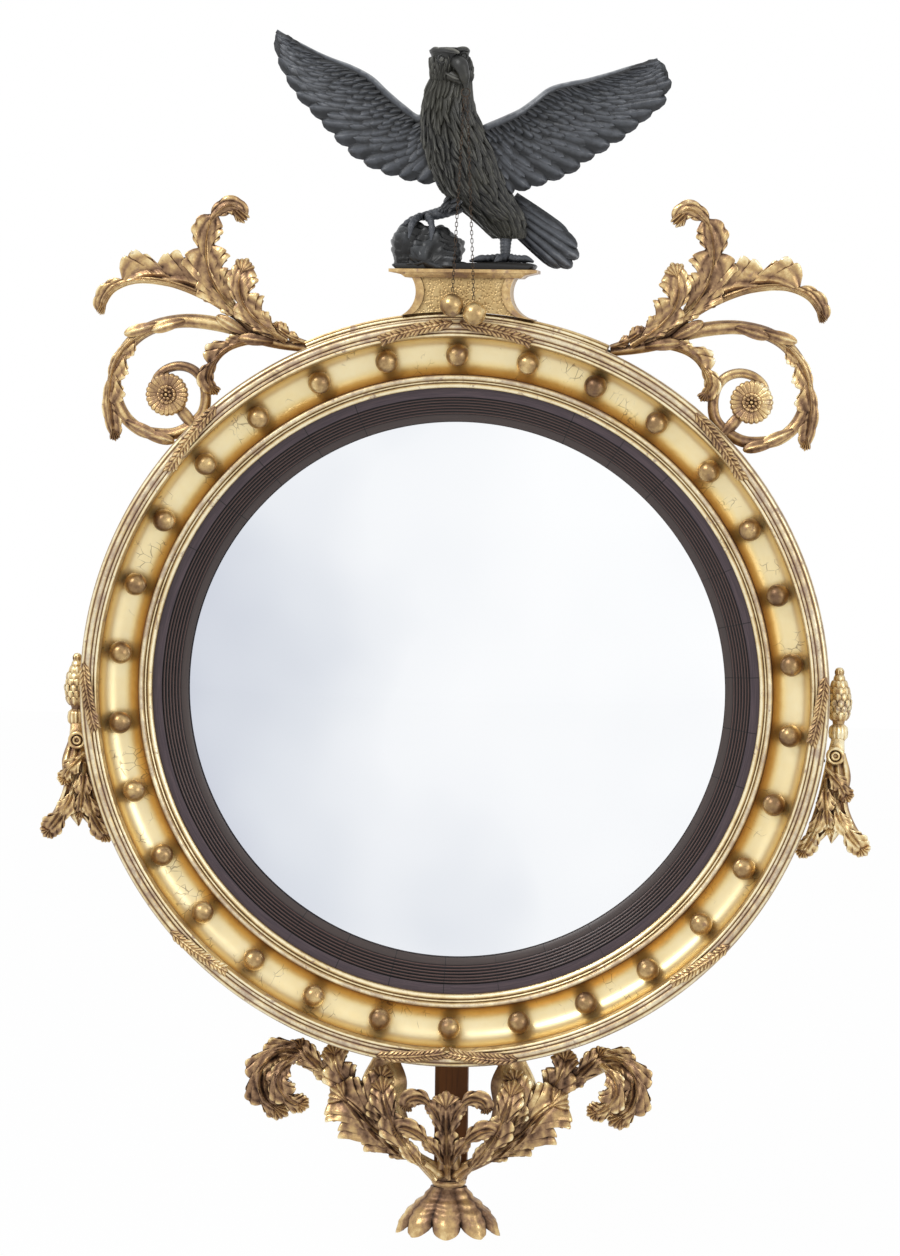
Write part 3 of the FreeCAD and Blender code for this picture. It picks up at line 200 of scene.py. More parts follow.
def closed(rings, tone=0.6, loop=False, comb=0.0):
    """Points, tones, combs and faces of a batch of skins, an array of (skins, rings, points, 3).
    Each pole is the mean of its end ring. A skin whose signed volume, the sum of
    a . (b x c) / 6 over its triangles, is negative gets its faces turned over."""
    rings = np.asarray(rings, float)
    rings = rings[None] if rings.ndim == 3 else rings
    count, nu, nv = rings.shape[:3]
    marks = np.stack([np.broadcast_to(tone, (count, nu, nv)), np.broadcast_to(comb, (count, nu, nv))], -1)
    points, flat_marks = rings.reshape(count, nu * nv, 3), marks.reshape(count, nu * nv, 2)
    squares, caps = ring_faces(nu, nv, loop)
    if not loop:
        points, flat_marks = (np.concatenate([p, grid[:, :1].mean(2), grid[:, -1:].mean(2)], 1)
                              for p, grid in ((points, rings), (flat_marks, marks)))
    triangles = np.concatenate([squares[:, [0, 1, 2]], squares[:, [0, 2, 3]], caps])
    middle = points.mean(1, keepdims=True)
    a, b, c = ((points - middle)[:, triangles[:, k]] for k in range(3))
    inside_out = (np.einsum("sti,sti->st", a, np.cross(b, c)).sum(1) < 0)[:, None, None]
    offset = (np.arange(count) * points.shape[1])[:, None, None]
    squares = np.where(inside_out, squares[:, ::-1][None], squares[None]) + offset
    caps = np.where(inside_out, caps[:, ::-1][None], caps[None]) + offset
    return points.reshape(-1, 3), flat_marks.reshape(-1, 2), squares.reshape(-1, 4), caps.reshape(-1, 3)


def skin(name, parts, finish, replaces=None, body="frame", crease=40):
    """Makes one piece from batches of closed skins, each given as closed() takes it. Two numbers
    for each point are kept as attributes: the tone, from 0 in a hollow to 1 on an edge, which the
    finishes turn into painted shade and painted highlights, and the comb, whose whole numbers lie on
    the fine lines that a veining tool leaves."""
    batches = [closed(*part) for part in parts]
    base = np.cumsum([0] + [len(b[0]) for b in batches])
    points, marks = (np.concatenate([b[k] for b in batches]) for k in (0, 1))
    squares, caps = (np.concatenate([b[k] + start for b, start in zip(batches, base)]) for k in (2, 3))
    corners = np.concatenate([squares.ravel(), caps.ravel()]).astype(np.int32)
    sizes = np.concatenate([np.full(len(squares), 4), np.full(len(caps), 3)])
    mesh = bpy.data.meshes.new(name)
    mesh.vertices.add(len(points))
    mesh.vertices.foreach_set("co", points.astype(np.float32).ravel())
    mesh.loops.add(len(corners))
    mesh.loops.foreach_set("vertex_index", corners)
    mesh.polygons.add(len(sizes))
    mesh.polygons.foreach_set("loop_start", (np.cumsum(sizes) - sizes).astype(np.int32))
    mesh.update(calc_edges=True)
    for k, mark in enumerate(("tone", "comb")):
        mesh.attributes.new(mark, "FLOAT", "POINT").data.foreach_set("value", marks[:, k].astype(np.float32))
    mesh.polygons.foreach_set("use_smooth", np.ones(len(sizes), bool))
    if crease:
        mesh.set_sharp_from_angle(angle=math.radians(crease))
    mesh.materials.append(finish)
    piece = bpy.data.objects.new(name, mesh)
    bpy.context.scene.collection.objects.link(piece)
    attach(piece, body)
    if replaces:
        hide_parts(replaces)
    print(f"{name}: {2 * len(squares) + len(caps)} triangles")


# %% Paths
mm = 0.001
outward = np.array([0.0, -1.0, 0.0])


def unit(v):
    """Vectors of length 1: each divided by its length."""
    return v / np.maximum(np.linalg.norm(v, axis=-1, keepdims=True), 1e-12)


def spline(points, t):
    """Points on a Catmull-Rom curve: between two given points it is the cubic whose slope at each
    of them is half the step between its neighbours. t counts the given points, from 0."""
    p = np.asarray(points, float)
    p = np.concatenate([2 * p[:1] - p[1:2], p, 2 * p[-1:] - p[-2:-1]])
    t = np.clip(np.asarray(t, float), 0, len(p) - 3 - 1e-9)
    i = t.astype(int)
    f = (t - i)[..., None]
    a, b, c, d = (p[i + k] for k in range(4))
    return b + 0.5 * f * (c - a + f * (2 * a - 5 * b + 4 * c - d + f * (3 * (b - c) + d - a)))


def path(points, s):
    """Place and direction at shares s of a smooth curve's length, measured on 400 short steps."""
    dense_t = np.linspace(0, len(points) - 1, 401)
    dense = spline(points, dense_t)
    length = np.concatenate([[0], np.cumsum(np.linalg.norm(np.diff(dense, axis=0), axis=1))])
    t = np.interp(np.asarray(s, float) * length[-1], length, dense_t)
    step = 1e-3
    place = spline(points, t)
    ahead, behind = spline(points, t + step), spline(points, t - step)
    return place, unit(ahead - behind)


def along_values(values, s):
    """A smooth change between evenly spaced values: a cosine step from each to the next."""
    x = np.clip(np.asarray(s, float), 0, 1) * (len(values) - 1)
    i = np.minimum(x.astype(int), len(values) - 2)
    f = (1 - np.cos((x - i) * np.pi)) / 2
    v = np.asarray(values, float)
    return v[i] + (v[i + 1] - v[i]) * f


def bar(points, radii, rings=60, around=16, flutes=0, depth=0.0, twist=0.0, press=1.0):
    """A carved stem. Its centre follows a smooth path, and its radius is
    r(s) * (1 - depth * (1 - |sin(flutes * (a + twist * s) / 2)|)) at the angle a round the path.
    A press of less than 1 flattens the stem from front to back."""
    s = np.linspace(0, 1, rings)
    centre, ahead = path(points, s)
    side = unit(np.cross(ahead, outward))
    front = np.cross(side, ahead)
    a = np.linspace(0, 2 * np.pi, around, endpoint=False)
    ridge = np.abs(np.sin(flutes * (a[None] + twist * s[:, None]) / 2)) if flutes else np.ones((1, around))
    radius = along_values(radii, s)[:, None] * (1 - depth * (1 - ridge))
    ring = centre[:, None] + radius[..., None] * (np.cos(a)[:, None] * side[:, None]
                                                  + press * np.sin(a)[:, None] * front[:, None])
    comb = radius / mm * a[None] * 1.2
    # painted shade and highlight: the tone is low in the flutes and high on their ridges
    return ring[None], np.broadcast_to(0.25 + 0.45 * ridge, (rings, around))[None], False, comb[None]


print("path helpers ready")

# %% [markdown]
# ## Finishes
# The frame is water gilded: thin gold leaf over a red-brown clay, burnished bright in the cove and
# left duller on the carving. Two hundred years have rubbed the leaf through on the high edges, where
# the clay shows, and left grime in the hollows. A photograph could be wrapped round the pieces, but
# it would bring its own light along. So each finish is built from noise on the object's own
# coordinates, and from the attribute tone, which says whether a point lies in a hollow or on an edge.
# The finishes turn the tone into painted shade in the hollows and painted highlights on the edges,
# and darken the crevices with more painted shade, so the hollows hold grime and painted shade both.


# %% A small kit for shader nodes
def srgb(text):
    """A colour as painters write it, such as d7b15c, turned into the linear numbers of a shader."""
    parts = [int(text[i:i + 2], 16) / 255 for i in (0, 2, 4)]
    return tuple(p / 12.92 if p <= 0.04045 else ((p + 0.055) / 1.055) ** 2.4 for p in parts) + (1.0,)


class Recipe:
    """The node tree of one finish. Each method adds a node and returns the socket it gives."""

    def __init__(self, name, metallic=0.0, roughness=0.5, specular=0.5, coat=0.0, coat_roughness=0.1):
        self.material = bpy.data.materials.new(name)
        self.material.use_nodes = True
        self.nodes, self.links = self.material.node_tree.nodes, self.material.node_tree.links
        self.skin = self.nodes["Principled BSDF"]
        sockets = {"Metallic": metallic, "Roughness": roughness, "Specular IOR Level": specular,
                   "Coat Weight": coat, "Coat Roughness": coat_roughness}
        for socket, value in sockets.items():
            self.skin.inputs[socket].default_value = value
        self.place = self.nodes.new("ShaderNodeTexCoord").outputs["Object"]

    def put(self, value, socket):
        """Fills a socket: with a link from another socket, or with a number."""
        if isinstance(value, bpy.types.NodeSocket):
            self.links.new(value, socket)
        else:
            socket.default_value = value

    def math(self, kind, a, b=0.0, clamp=False):
        node = self.nodes.new("ShaderNodeMath")
        node.operation, node.use_clamp = kind, clamp
        self.put(a, node.inputs[0])
        self.put(b, node.inputs[1])
        return node.outputs[0]

    def noise(self, scale, detail=4.0, roughness=0.55, place=None, distortion=0.0):
        node = self.nodes.new("ShaderNodeTexNoise")
        self.put(place or self.place, node.inputs["Vector"])
        for socket, value in (("Scale", scale), ("Detail", detail), ("Roughness", roughness),
                              ("Distortion", distortion)):
            node.inputs[socket].default_value = value
        return node.outputs["Fac"]

    def cells(self, scale, feature="DISTANCE_TO_EDGE", place=None):
        node = self.nodes.new("ShaderNodeTexVoronoi")
        node.feature = feature
        self.put(place or self.place, node.inputs["Vector"])
        node.inputs["Scale"].default_value = scale
        return node.outputs["Distance"]

    def attribute(self, name):
        node = self.nodes.new("ShaderNodeAttribute")
        node.attribute_name = name
        return node.outputs["Fac"]

    def hollow(self, distance=0.008):
        """How open a point is to the air round it: 1 in the open, less in a crevice. Multiplied into
        a colour, it paints shade into the crevices.
        """
        node = self.nodes.new("ShaderNodeAmbientOcclusion")
        node.samples = 6
        node.inputs["Distance"].default_value = distance
        return node.outputs["AO"]

    def span(self, value, low, high, to_low=0.0, to_high=1.0):
        node = self.nodes.new("ShaderNodeMapRange")
        self.put(value, node.inputs["Value"])
        for k, number in enumerate((low, high, to_low, to_high)):
            node.inputs[k + 1].default_value = number
        return node.outputs[0]

    def ramp(self, value, stops):
        node = self.nodes.new("ShaderNodeValToRGB")
        self.put(value, node.inputs[0])
        ends = node.color_ramp.elements
        while len(ends) < len(stops):
            ends.new(0.5)
        for end, (where, colour) in zip(ends, stops):
            end.position, end.color = where, srgb(colour)
        return node.outputs[0]

    def mix(self, share, a, b, kind="MIX"):
        node = self.nodes.new("ShaderNodeMix")
        node.data_type, node.blend_type = "RGBA", kind
        self.put(share, node.inputs[0])
        self.put(srgb(a) if isinstance(a, str) else a, node.inputs[6])
        self.put(srgb(b) if isinstance(b, str) else b, node.inputs[7])
        return node.outputs[2]

    def polar(self):
        """Angle round the mirror's axis, as a share of a turn, and distance from it."""
        split = self.nodes.new("ShaderNodeSeparateXYZ")
        self.links.new(self.place, split.inputs[0])
        angle = self.math("DIVIDE", self.math("ARCTAN2", split.outputs[0], split.outputs[2]), 2 * math.pi)
        x2 = self.math("MULTIPLY", split.outputs[0], split.outputs[0])
        z2 = self.math("MULTIPLY", split.outputs[2], split.outputs[2])
        return angle, self.math("SQRT", self.math("ADD", x2, z2)), split.outputs[1]

    def vector(self, x, y, z):
        node = self.nodes.new("ShaderNodeCombineXYZ")
        for k, value in enumerate((x, y, z)):
            self.put(value, node.inputs[k])
        return node.outputs[0]

    def finish(self, colour, roughness=None, height=None, strength=0.3, distance=0.0005):
        self.put(colour, self.skin.inputs["Base Color"])
        if roughness is not None:
            self.put(roughness, self.skin.inputs["Roughness"])
        if height is not None:
            bump = self.nodes.new("ShaderNodeBump")
            bump.inputs["Strength"].default_value = strength
            bump.inputs["Distance"].default_value = distance
            self.put(height, bump.inputs["Height"])
            self.links.new(bump.outputs[0], self.skin.inputs["Normal"])
        return self.material


# %% Gilding
def gilding(name, stops, metallic=0.75, roughness=(0.3, 0.5), wear=0.3, mottle=0.5, dirt_and_shade=0.6, cracks=0.0,
            clay="8a6455", grain=130.0, strength=0.35, veins=0.0, punch=0.0, worn_bands=(), tone=None):
    """Gold leaf. Its colour runs through the stops, from grime and painted shade in the hollows to
    painted highlights on the edges: the tone of the point, times its openness, plus two sizes of
    noise. Where a third noise is high, the clay shows, and so it does in the worn bands, each an inner
    radius, an outer radius and a share. Cracks are the edges of irregular cells. A piece without the
    attribute gives one number as its tone."""
    r = Recipe(name, metallic=metallic, specular=0.4)
    cloud = r.math("MULTIPLY", r.math("SUBTRACT", r.noise(16, 3), 0.5), mottle)
    speck = r.math("MULTIPLY", r.math("SUBTRACT", r.noise(grain, 5, 0.65), 0.5), mottle * 0.8)
    # painted shade: the openness darkens the colour in crevices and a low tone darkens the hollows, grime and
    # shade both; a high tone paints highlights on the edges
    level = r.math("MULTIPLY", r.span(r.hollow(), 0.2, 1.0, 1 - dirt_and_shade, 1.0), tone or r.attribute("tone"))
    level = r.math("ADD", r.math("ADD", level, cloud), speck, clamp=True)
    colour = r.ramp(level, stops)
    worn = r.span(r.noise(70, 6, 0.7, distortion=0.6), 0.72 - 0.3 * wear, 0.80 - 0.3 * wear)
    worn = r.math("MULTIPLY", worn, r.span(level, 0.1, 0.7, 0.3, 1.0), clamp=True)
    if worn_bands:
        radius = r.polar()[1]
        patchy = r.span(r.noise(48, 7, 0.75), 0.36, 0.60)
        for inner, outer, share in worn_bands:
            middle, half = (inner + outer) / 2, (outer - inner) / 2
            off_middle = r.math("ABSOLUTE", r.math("SUBTRACT", radius, middle))
            band = r.span(off_middle, half * 0.7, half * 1.1, share, 0.0)
            worn = r.math("MAXIMUM", worn, r.math("MULTIPLY", band, patchy))
    colour = r.mix(r.math("MULTIPLY", worn, 0.7), colour, clay)
    fine = r.noise(grain * 2.5, 4, 0.7)
    height = r.math("ADD", r.math("MULTIPLY", fine, 0.5), r.math("MULTIPLY", worn, -0.5))
    if veins:
        vein = r.math("SINE", r.math("MULTIPLY", r.attribute("comb"), 2 * math.pi))
        height = r.math("ADD", height, r.math("MULTIPLY", vein, veins))
        # painted shade: the troughs of the veins are tinted towards the clay colour
        colour = r.mix(r.span(vein, -0.4, -1.0, 0.0, 0.35 * veins), colour, clay)
    if punch:
        mark = r.span(r.cells(punch, "F1"), 0.25, 0.55, 0.0, 1.0)
        height = r.math("ADD", height, r.math("MULTIPLY", mark, 3.0))
        # painted shade: each punched dent is tinted towards the darker second stop
        colour = r.mix(r.math("MULTIPLY", r.math("SUBTRACT", 1.0, mark), 0.55), colour, stops[1][1])
    if cracks:
        angle, radius, depth = r.polar()
        bent = r.vector(r.math("MULTIPLY", angle, 250.0), r.math("MULTIPLY", radius, 70.0),
                        r.math("MULTIPLY", r.noise(40, 2), 2.2))
        line = r.span(r.cells(1.0, place=bent), 0.0, 0.045, 1.0, 0.0)
        where = r.span(r.noise(30, 4), 0.66 - 0.2 * cracks, 0.74 - 0.2 * cracks)
        line = r.math("MULTIPLY", line, where, clamp=True)
        colour = r.mix(r.math("MULTIPLY", line, 0.75), colour, "5c4636")
        height = r.math("SUBTRACT", height, line)
    dull = r.math("ADD", r.span(level, 0.0, 1.0, roughness[1], roughness[0]), r.math("MULTIPLY", worn, 0.25))
    return r.finish(colour, dull, height, strength)


BRIGHT_STOPS = [(0.0, "6d4a26"), (0.22, "ad7d3e"), (0.45, "d8b064"), (0.66, "f3dc9f"), (1.0, "fdf3d0")]
MOULDING_STOPS = [(0.0, "33241a"), (0.25, "765b3a"), (0.5, "ad8c5a"), (0.75, "dcc28c"), (1.0, "f8ecc8")]
CARVED_STOPS = [(0.0, "2a1c15"), (0.2, "664b37"), (0.42, "99795a"), (0.62, "c8a672"), (0.80, "eed39a"),
                (1.0, "fff2ca")]
BALL_STOPS = [(0.0, "34241a"), (0.3, "765a40"), (0.55, "9c7e56"), (0.8, "cfb07a"), (1.0, "efdaa4")]
PUNCHED_STOPS = [(0.0, "4a3824"), (0.3, "8e734c"), (0.55, "c4a672"), (0.8, "ecd6a2"), (1.0, "fdf3cc")]
WORN_CRESTS = ((0.3880, 0.4012, 0.95), (0.4022, 0.4060, 0.75), (0.3392, 0.3455, 0.85))
gold_bright = gilding("burnished cove gilding", BRIGHT_STOPS, metallic=0.7, roughness=(0.3, 0.42), wear=0.02,
                      mottle=0.2, dirt_and_shade=0.35, cracks=0.5, grain=90, strength=0.12)
gold_moulding = gilding("rubbed moulding gilding", MOULDING_STOPS, metallic=0.6, roughness=(0.3, 0.52),
                        wear=0.5, mottle=0.55, dirt_and_shade=0.8, cracks=0.1, clay="8e7169", worn_bands=WORN_CRESTS)
gold_carved = gilding("carved gilding", CARVED_STOPS, metallic=0.65, roughness=(0.17, 0.5), wear=0.5,
                      mottle=1.0, dirt_and_shade=0.72, clay="8f7063", veins=0.22)
gold_ball = gilding("rubbed ball gilding", BALL_STOPS, metallic=0.7, roughness=(0.22, 0.42), wear=0.55,
                    mottle=1.0, dirt_and_shade=0.4, clay="7c6052", strength=0.3)
gold_punched = gilding("punched panel gilding", PUNCHED_STOPS, metallic=0.7, roughness=(0.28, 0.45), wear=0.1,
                       mottle=0.4, dirt_and_shade=0.6, punch=330.0, tone=0.55)
print("gildings:", [m.name for m in bpy.data.materials if "gilding" in m.name])

# %% [markdown]
# The slip round the glass is ebonised: stained nearly black, with a warm plum cast where the light
# rakes it. It was glued up from short blocks, so a fine joint crosses it every few degrees. The
# joints follow the angle round the axis, which the shader works out from the object's coordinates.
# The eagle is painted black over its carving, rubbed to grey on the edges, with painted highlights
# there and painted shade in its hollows, and a little green on the breast.

# %% Dark finishes
joint_count = 34


def ebonised(fillet_out, reeds_out):
    """Nearly black reeds with a thin red-brown line on each crest, between a plum band outside
    and a grey-brown fillet beside the glass."""
    r = Recipe("ebonised slip", specular=0.35, roughness=0.36, coat=0.08, coat_roughness=0.25)
    angle, radius, depth = r.polar()
    streak = r.noise(1.0, 5, 0.6, r.vector(r.math("MULTIPLY", angle, 60.0), r.math("MULTIPLY", radius, 900.0),
                                           r.math("MULTIPLY", depth, 300.0)))
    reeds = r.mix(r.span(r.attribute("tone"), 0.93, 0.99), "120d0f", "5f423a")
    outer = r.mix(r.span(streak, 0.3, 0.7), "3a2e33", "52454a")
    colour = r.mix(r.span(radius, reeds_out, reeds_out + 0.0005), reeds, outer)
    colour = r.mix(r.span(radius, fillet_out - 0.0008, fillet_out), "413734", colour)
    colour = r.mix(r.span(streak, 0.45, 0.8, 0.0, 0.22), colour, "6c5249")
    step = r.math("FRACT", r.math("ADD", r.math("MULTIPLY", angle, float(joint_count)), 0.37))
    near = r.math("ABSOLUTE", r.math("SUBTRACT", step, 0.5))
    patchy = r.span(r.noise(5.0, 1), 0.42, 0.5)
    joint = r.math("MULTIPLY", r.span(near, 0.004, 0.010, 1.0, 0.0), patchy, clamp=True)
    colour = r.mix(joint, colour, "0c0708")
    height = r.math("SUBTRACT", r.math("MULTIPLY", streak, 0.3), joint)
    return r.finish(colour, r.span(streak, 0.2, 0.8, 0.28, 0.46), height, 0.2)


def black_paint(name, dark, mid, light, rubbed_and_highlit, olive=0.0):
    """Black paint, from painted shade in the hollows to edges rubbed grey and lit with painted
    highlights, with the barbs of the comb attribute.
    """
    r = Recipe(name, specular=0.45, roughness=0.45)
    # painted shade: the tone and the openness darken the hollows and crevices, and a high tone paints
    # highlights on the edges
    level = r.math("MULTIPLY", r.attribute("tone"), r.span(r.hollow(0.006), 0.3, 1.0, 0.35, 1.0))
    speck = r.math("MULTIPLY", r.math("SUBTRACT", r.noise(90, 5, 0.65), 0.5), 0.5)
    level = r.math("ADD", level, speck, clamp=True)
    colour = r.ramp(level, [(0.0, dark), (0.45, mid), (0.8, light), (1.0, rubbed_and_highlit)])
    if olive:
        colour = r.mix(r.math("MULTIPLY", r.span(r.noise(24, 4), 0.45, 0.65), olive), colour, "4a4736")
    barb = r.math("SINE", r.math("MULTIPLY", r.attribute("comb"), 2 * math.pi))
    # painted shade: the colour darkens in the grooves of the barbs
    colour = r.mix(r.span(barb, 0.0, -1.0, 0.0, 0.45), colour, dark)
    height = r.math("ADD", r.math("MULTIPLY", r.noise(420, 4, 0.65), 0.6), r.math("MULTIPLY", barb, 0.6))
    return r.finish(colour, r.span(level, 0.0, 1.0, 0.52, 0.26), height, 0.35)


fillet_edge_r, reeds_edge_r = 0.302, 0.3205       # where the slip's three bands meet
ebony = ebonised(fillet_edge_r, reeds_edge_r)
feather_black = black_paint("black painted feathers", "09090b", "232528", "5a5d63", "a4a6a8")
breast_black = black_paint("black painted breast", "0a0a09", "2c2c2a", "7e7c72", "b4b0a2", olive=0.3)
rock_black = black_paint("black painted rock", "060606", "18191a", "3e4042", "747676")


# %% Glass, chain, wood and iron
def silvered_glass():
    """A pale mirror whose colour holds a painted reflection: the tint runs from a cool grey at the
    viewer's left to nearly white, and grows lighter upwards.
    """
    r = Recipe("silvered convex glass", metallic=1.0, roughness=0.06)
    split = r.nodes.new("ShaderNodeSeparateXYZ")
    r.links.new(r.place, split.inputs[0])
    sweep = r.span(split.outputs[0], -0.29, 0.10)
    lift = r.span(split.outputs[2], -0.29, 0.20)
    cloud = r.math("MULTIPLY", r.math("SUBTRACT", r.noise(4.5, 2, 0.4), 0.5), 0.9)
    # painted reflection: the colour gets lighter to the right and upwards
    level = r.math("ADD", r.math("MULTIPLY", sweep, 0.65), r.math("MULTIPLY", lift, 0.3))
    level = r.math("ADD", level, cloud, clamp=True)
    colour = r.ramp(level, [(0.0, "c4c9d6"), (0.32, "e0e4eb"), (0.62, "f5f7fa"), (1.0, "fdfeff")])
    return r.finish(colour)


def plain_metal(name, dark, light, metallic, scale=300):
    """Metal that runs between two colours and two roughnesses, as the noise does."""
    r = Recipe(name, metallic=metallic, roughness=0.45)
    patch = r.noise(scale, 5, 0.65)
    colour = r.mix(r.span(patch, 0.35, 0.7), dark, light)
    return r.finish(colour, r.span(patch, 0.3, 0.7, 0.35, 0.6), patch, 0.3)


def wood(name, dark, light, lengthways="z"):
    """Sawn wood: noise that is stretched along the grain, and a finer one for the pores."""
    r = Recipe(name, roughness=0.62, specular=0.3)
    stretch = r.nodes.new("ShaderNodeMapping")
    r.links.new(r.place, stretch.inputs["Vector"])
    stretch.inputs["Scale"].default_value = (1, 1, 0.06) if lengthways == "z" else (0.06, 1, 1)
    rings = r.noise(60, 4, 0.6, stretch.outputs[0], 0.4)
    pores = r.noise(420, 3, 0.6, stretch.outputs[0])
    colour = r.mix(r.span(rings, 0.3, 0.7), dark, light)
    colour = r.mix(r.span(pores, 0.55, 0.75, 0.0, 0.5), colour, "2a180c")
    return r.finish(colour, r.span(rings, 0.3, 0.7, 0.55, 0.72), r.math("ADD", rings, pores), 0.25)


glass = silvered_glass()
chain_brass = plain_metal("tarnished chain brass", "261f1a", "5c4a3a", 0.6)
steel = plain_metal("aged screw steel", "4a4846", "8d8a86", 0.9)
iron = plain_metal("black iron plate", "151413", "3a3632", 0.6, 160)
pine = wood("old pine board", "6e4a2a", "9c7145", "x")
brown_wood = wood("brown batten wood", "5a351b", "8c5a2e")
print("materials:", len(bpy.data.materials))

# %% [markdown]
# ## The rings
# The frame is a set of turned rings: a reeded rim, a deep cove for the balls, a gilt bead and the
# dark slip. A lathe cuts one profile all the way round, and so does this code: a profile of radius
# and depth is carried round the axis. A Spin or Screw modifier would do as much, but the formula
# also gives the tone of each point: low in the grooves between the reeds, high on their backs, so
# that the finish paints shade into the grooves and highlights onto the backs.

# %% Sizes of the rings
sight_r = 0.294            # edge of the visible glass
slip_fillet, slip_reeding, slip_band = 0.0080, 0.0185, 0.0125
slip_reeds, slip_reed_rise = 6, 0.0012
slip_r = sight_r + slip_fillet + slip_reeding + slip_band
slip_under = 0.0085
slip_back_y, slip_seat_y, slip_face_y = -0.022, -0.036, -0.042
lip_r = slip_r + 0.001
cove_in_r = lip_r + 0.011
cove_out_r = cove_in_r + 0.0395
rim_w, rim_over, rim_lap, rim_h = 0.0205, 0.007, 0.012, 0.011
rim_r = cove_out_r + rim_w
side_r = rim_r - rim_over
shoulder_y = -0.074
rim_front_y = shoulder_y - rim_h
cove_arc_r = 0.0232
arc_behind = 0.0064        # the centre of the cove's arc, behind the shoulder
arc_r0, arc_y0 = cove_out_r - 0.0223, shoulder_y + arc_behind
gesso_proud, gesso_sunk = 0.0003, 0.0012
rail_angle = math.radians(23.3)
full_turn = 2 * math.pi


def moulding(start, steps, samples=8):
    """A profile of (radius, depth) points with a tone for each. A step is (radius, depth, bulge):
    a straight line, or with a bulge a round whose height over the line is bulge * sin(pi t) ** 0.6.
    The tone falls to 0.2 at the two ends of a round and is 1 on its back: painted shade at the ends
    and a painted highlight on the back."""
    points, tones = [np.array([start])], [np.array([0.6])]
    here = np.array(start)
    for step in steps:
        end, bulge = np.array(step[:2]), (step[2] if len(step) > 2 else 0.0)
        count = samples if bulge else 2
        t = np.linspace(0, 1, count + 1)[1:, None]
        along = end - here
        out = np.array([-along[1], along[0]]) / np.hypot(*along)
        round_off = np.sin(np.pi * np.clip(t, 0, 1)) ** 0.6 if bulge else 0 * t
        points.append(here + along * t - out * bulge * round_off)
        # painted shade and highlight: the tone is low where a round meets its neighbour and high on its back
        tones.append(0.2 + 0.8 * round_off[:, 0] if bulge else np.full(count, 0.62))
        here = end
    return np.concatenate(points), np.concatenate(tones)


def reeding(start, end, count, rise):
    """Steps for a row of equal reeds between two points."""
    t = np.linspace(0, 1, count + 1)[1:, None]
    ends = np.array(start) + (np.array(end) - np.array(start)) * t
    return [(r, y, rise) for r, y in ends]


def turned(profile, angles):
    """Rings of one profile carried round the axis: (r sin a, y, r cos a)."""
    a = np.asarray(angles)[:, None]
    r, y = profile[:, 0][None], profile[:, 1][None]
    return np.stack([r * np.sin(a), y + 0 * a, r * np.cos(a)], -1)


round_angles = np.linspace(0, full_turn, 540, endpoint=False)


def turned_piece(name, section, finish, node):
    """A moulding that runs all the way round."""
    profile, tones = section
    skin(name, [(turned(profile, round_angles), tones, True)], finish, node)


# %% Rim, bead and slip
reed_in = (cove_out_r + 0.0012, rim_front_y + 0.0022)
reed_split = (cove_out_r + 0.0085, rim_front_y + 0.0008)
reed_out = (rim_r - 0.0055, rim_front_y + 0.0012)
rim_section = moulding((cove_out_r + 0.0002, shoulder_y),
                       [reed_in] + reeding(reed_in, reed_split, 2, 0.0012)
                       + [(reed_out[0], reed_out[1], 0.0022), (rim_r - 0.0012, rim_front_y + 0.004, 0.0014),
                          (rim_r, shoulder_y + 0.001, 0.0006), (rim_r - 0.0025, shoulder_y + rim_lap),
                          (side_r + 0.0002, shoulder_y + rim_lap), (side_r + 0.0002, shoulder_y)])
bead_in = cove_in_r - 0.0145
bead_section = moulding((bead_in, -0.044),
                        [(bead_in, -0.0468), (bead_in + 0.0055, -0.0500, 0.0016), (bead_in + 0.0060, -0.0508),
                         (bead_in + 0.0083, -0.0520, 0.0009), (bead_in + 0.0086, -0.0535),
                         (cove_in_r - 0.0004, -0.0545, 0.0022), (cove_in_r - 0.0002, -0.044)])
slip_in = sight_r + slip_fillet
slip_mid = slip_in + slip_reeding
slip_under_r = slip_r + slip_under
slip_reed_steps = reeding((slip_in, slip_back_y - 0.0055), (slip_mid, slip_face_y + 0.002), slip_reeds,
                          slip_reed_rise)
slip_section = moulding((sight_r + 0.002, slip_back_y),
                        [(sight_r, slip_back_y - 0.002), (slip_in, slip_back_y - 0.005, 0.0004)]
                        + slip_reed_steps
                        + [(slip_mid, slip_face_y), (slip_r, slip_face_y - 0.0014, 0.0002),
                           (slip_r, slip_seat_y), (slip_under_r, slip_seat_y), (slip_under_r, slip_back_y)])
turned_piece("rim_reeding", rim_section, gold_moulding, "reeded_rim")
turned_piece("bead_moulding", bead_section, gold_moulding, "inner_bead")
turned_piece("dark_slip", slip_section, ebony, "ebonised_slip")


# %% The burnished cove
def cove_lining():
    """A thin skin of burnished gesso over the cove. Its section is the arc
    (r0 + R sin t, y0 + R cos t), just proud of the wood, and its tone falls to the two edges, which
    paints shade towards both edges of the cove."""
    first = math.asin((cove_in_r - arc_r0) / cove_arc_r)
    last = math.pi / 2 + math.asin(arc_behind / cove_arc_r)
    t = np.linspace(first, last - 0.08, 26)
    front, behind = (np.stack([arc_r0 + r * np.sin(t), arc_y0 + r * np.cos(t)], -1)
                     for r in (cove_arc_r - gesso_proud, cove_arc_r + gesso_sunk))
    share = (t - first) / (last - first)
    # painted shade: the tone falls towards both edges of the cove
    tone = 0.12 + 0.68 * np.clip(np.minimum(share / 0.30, (1 - share) / 0.34), 0, 1) ** 0.9
    profile = np.concatenate([front, behind[::-1]])
    return profile, np.concatenate([tone, tone[::-1]])


cove_profile, cove_tone = cove_lining()
skin("cove_gesso", [(turned(cove_profile, round_angles), cove_tone, True)], gold_bright)


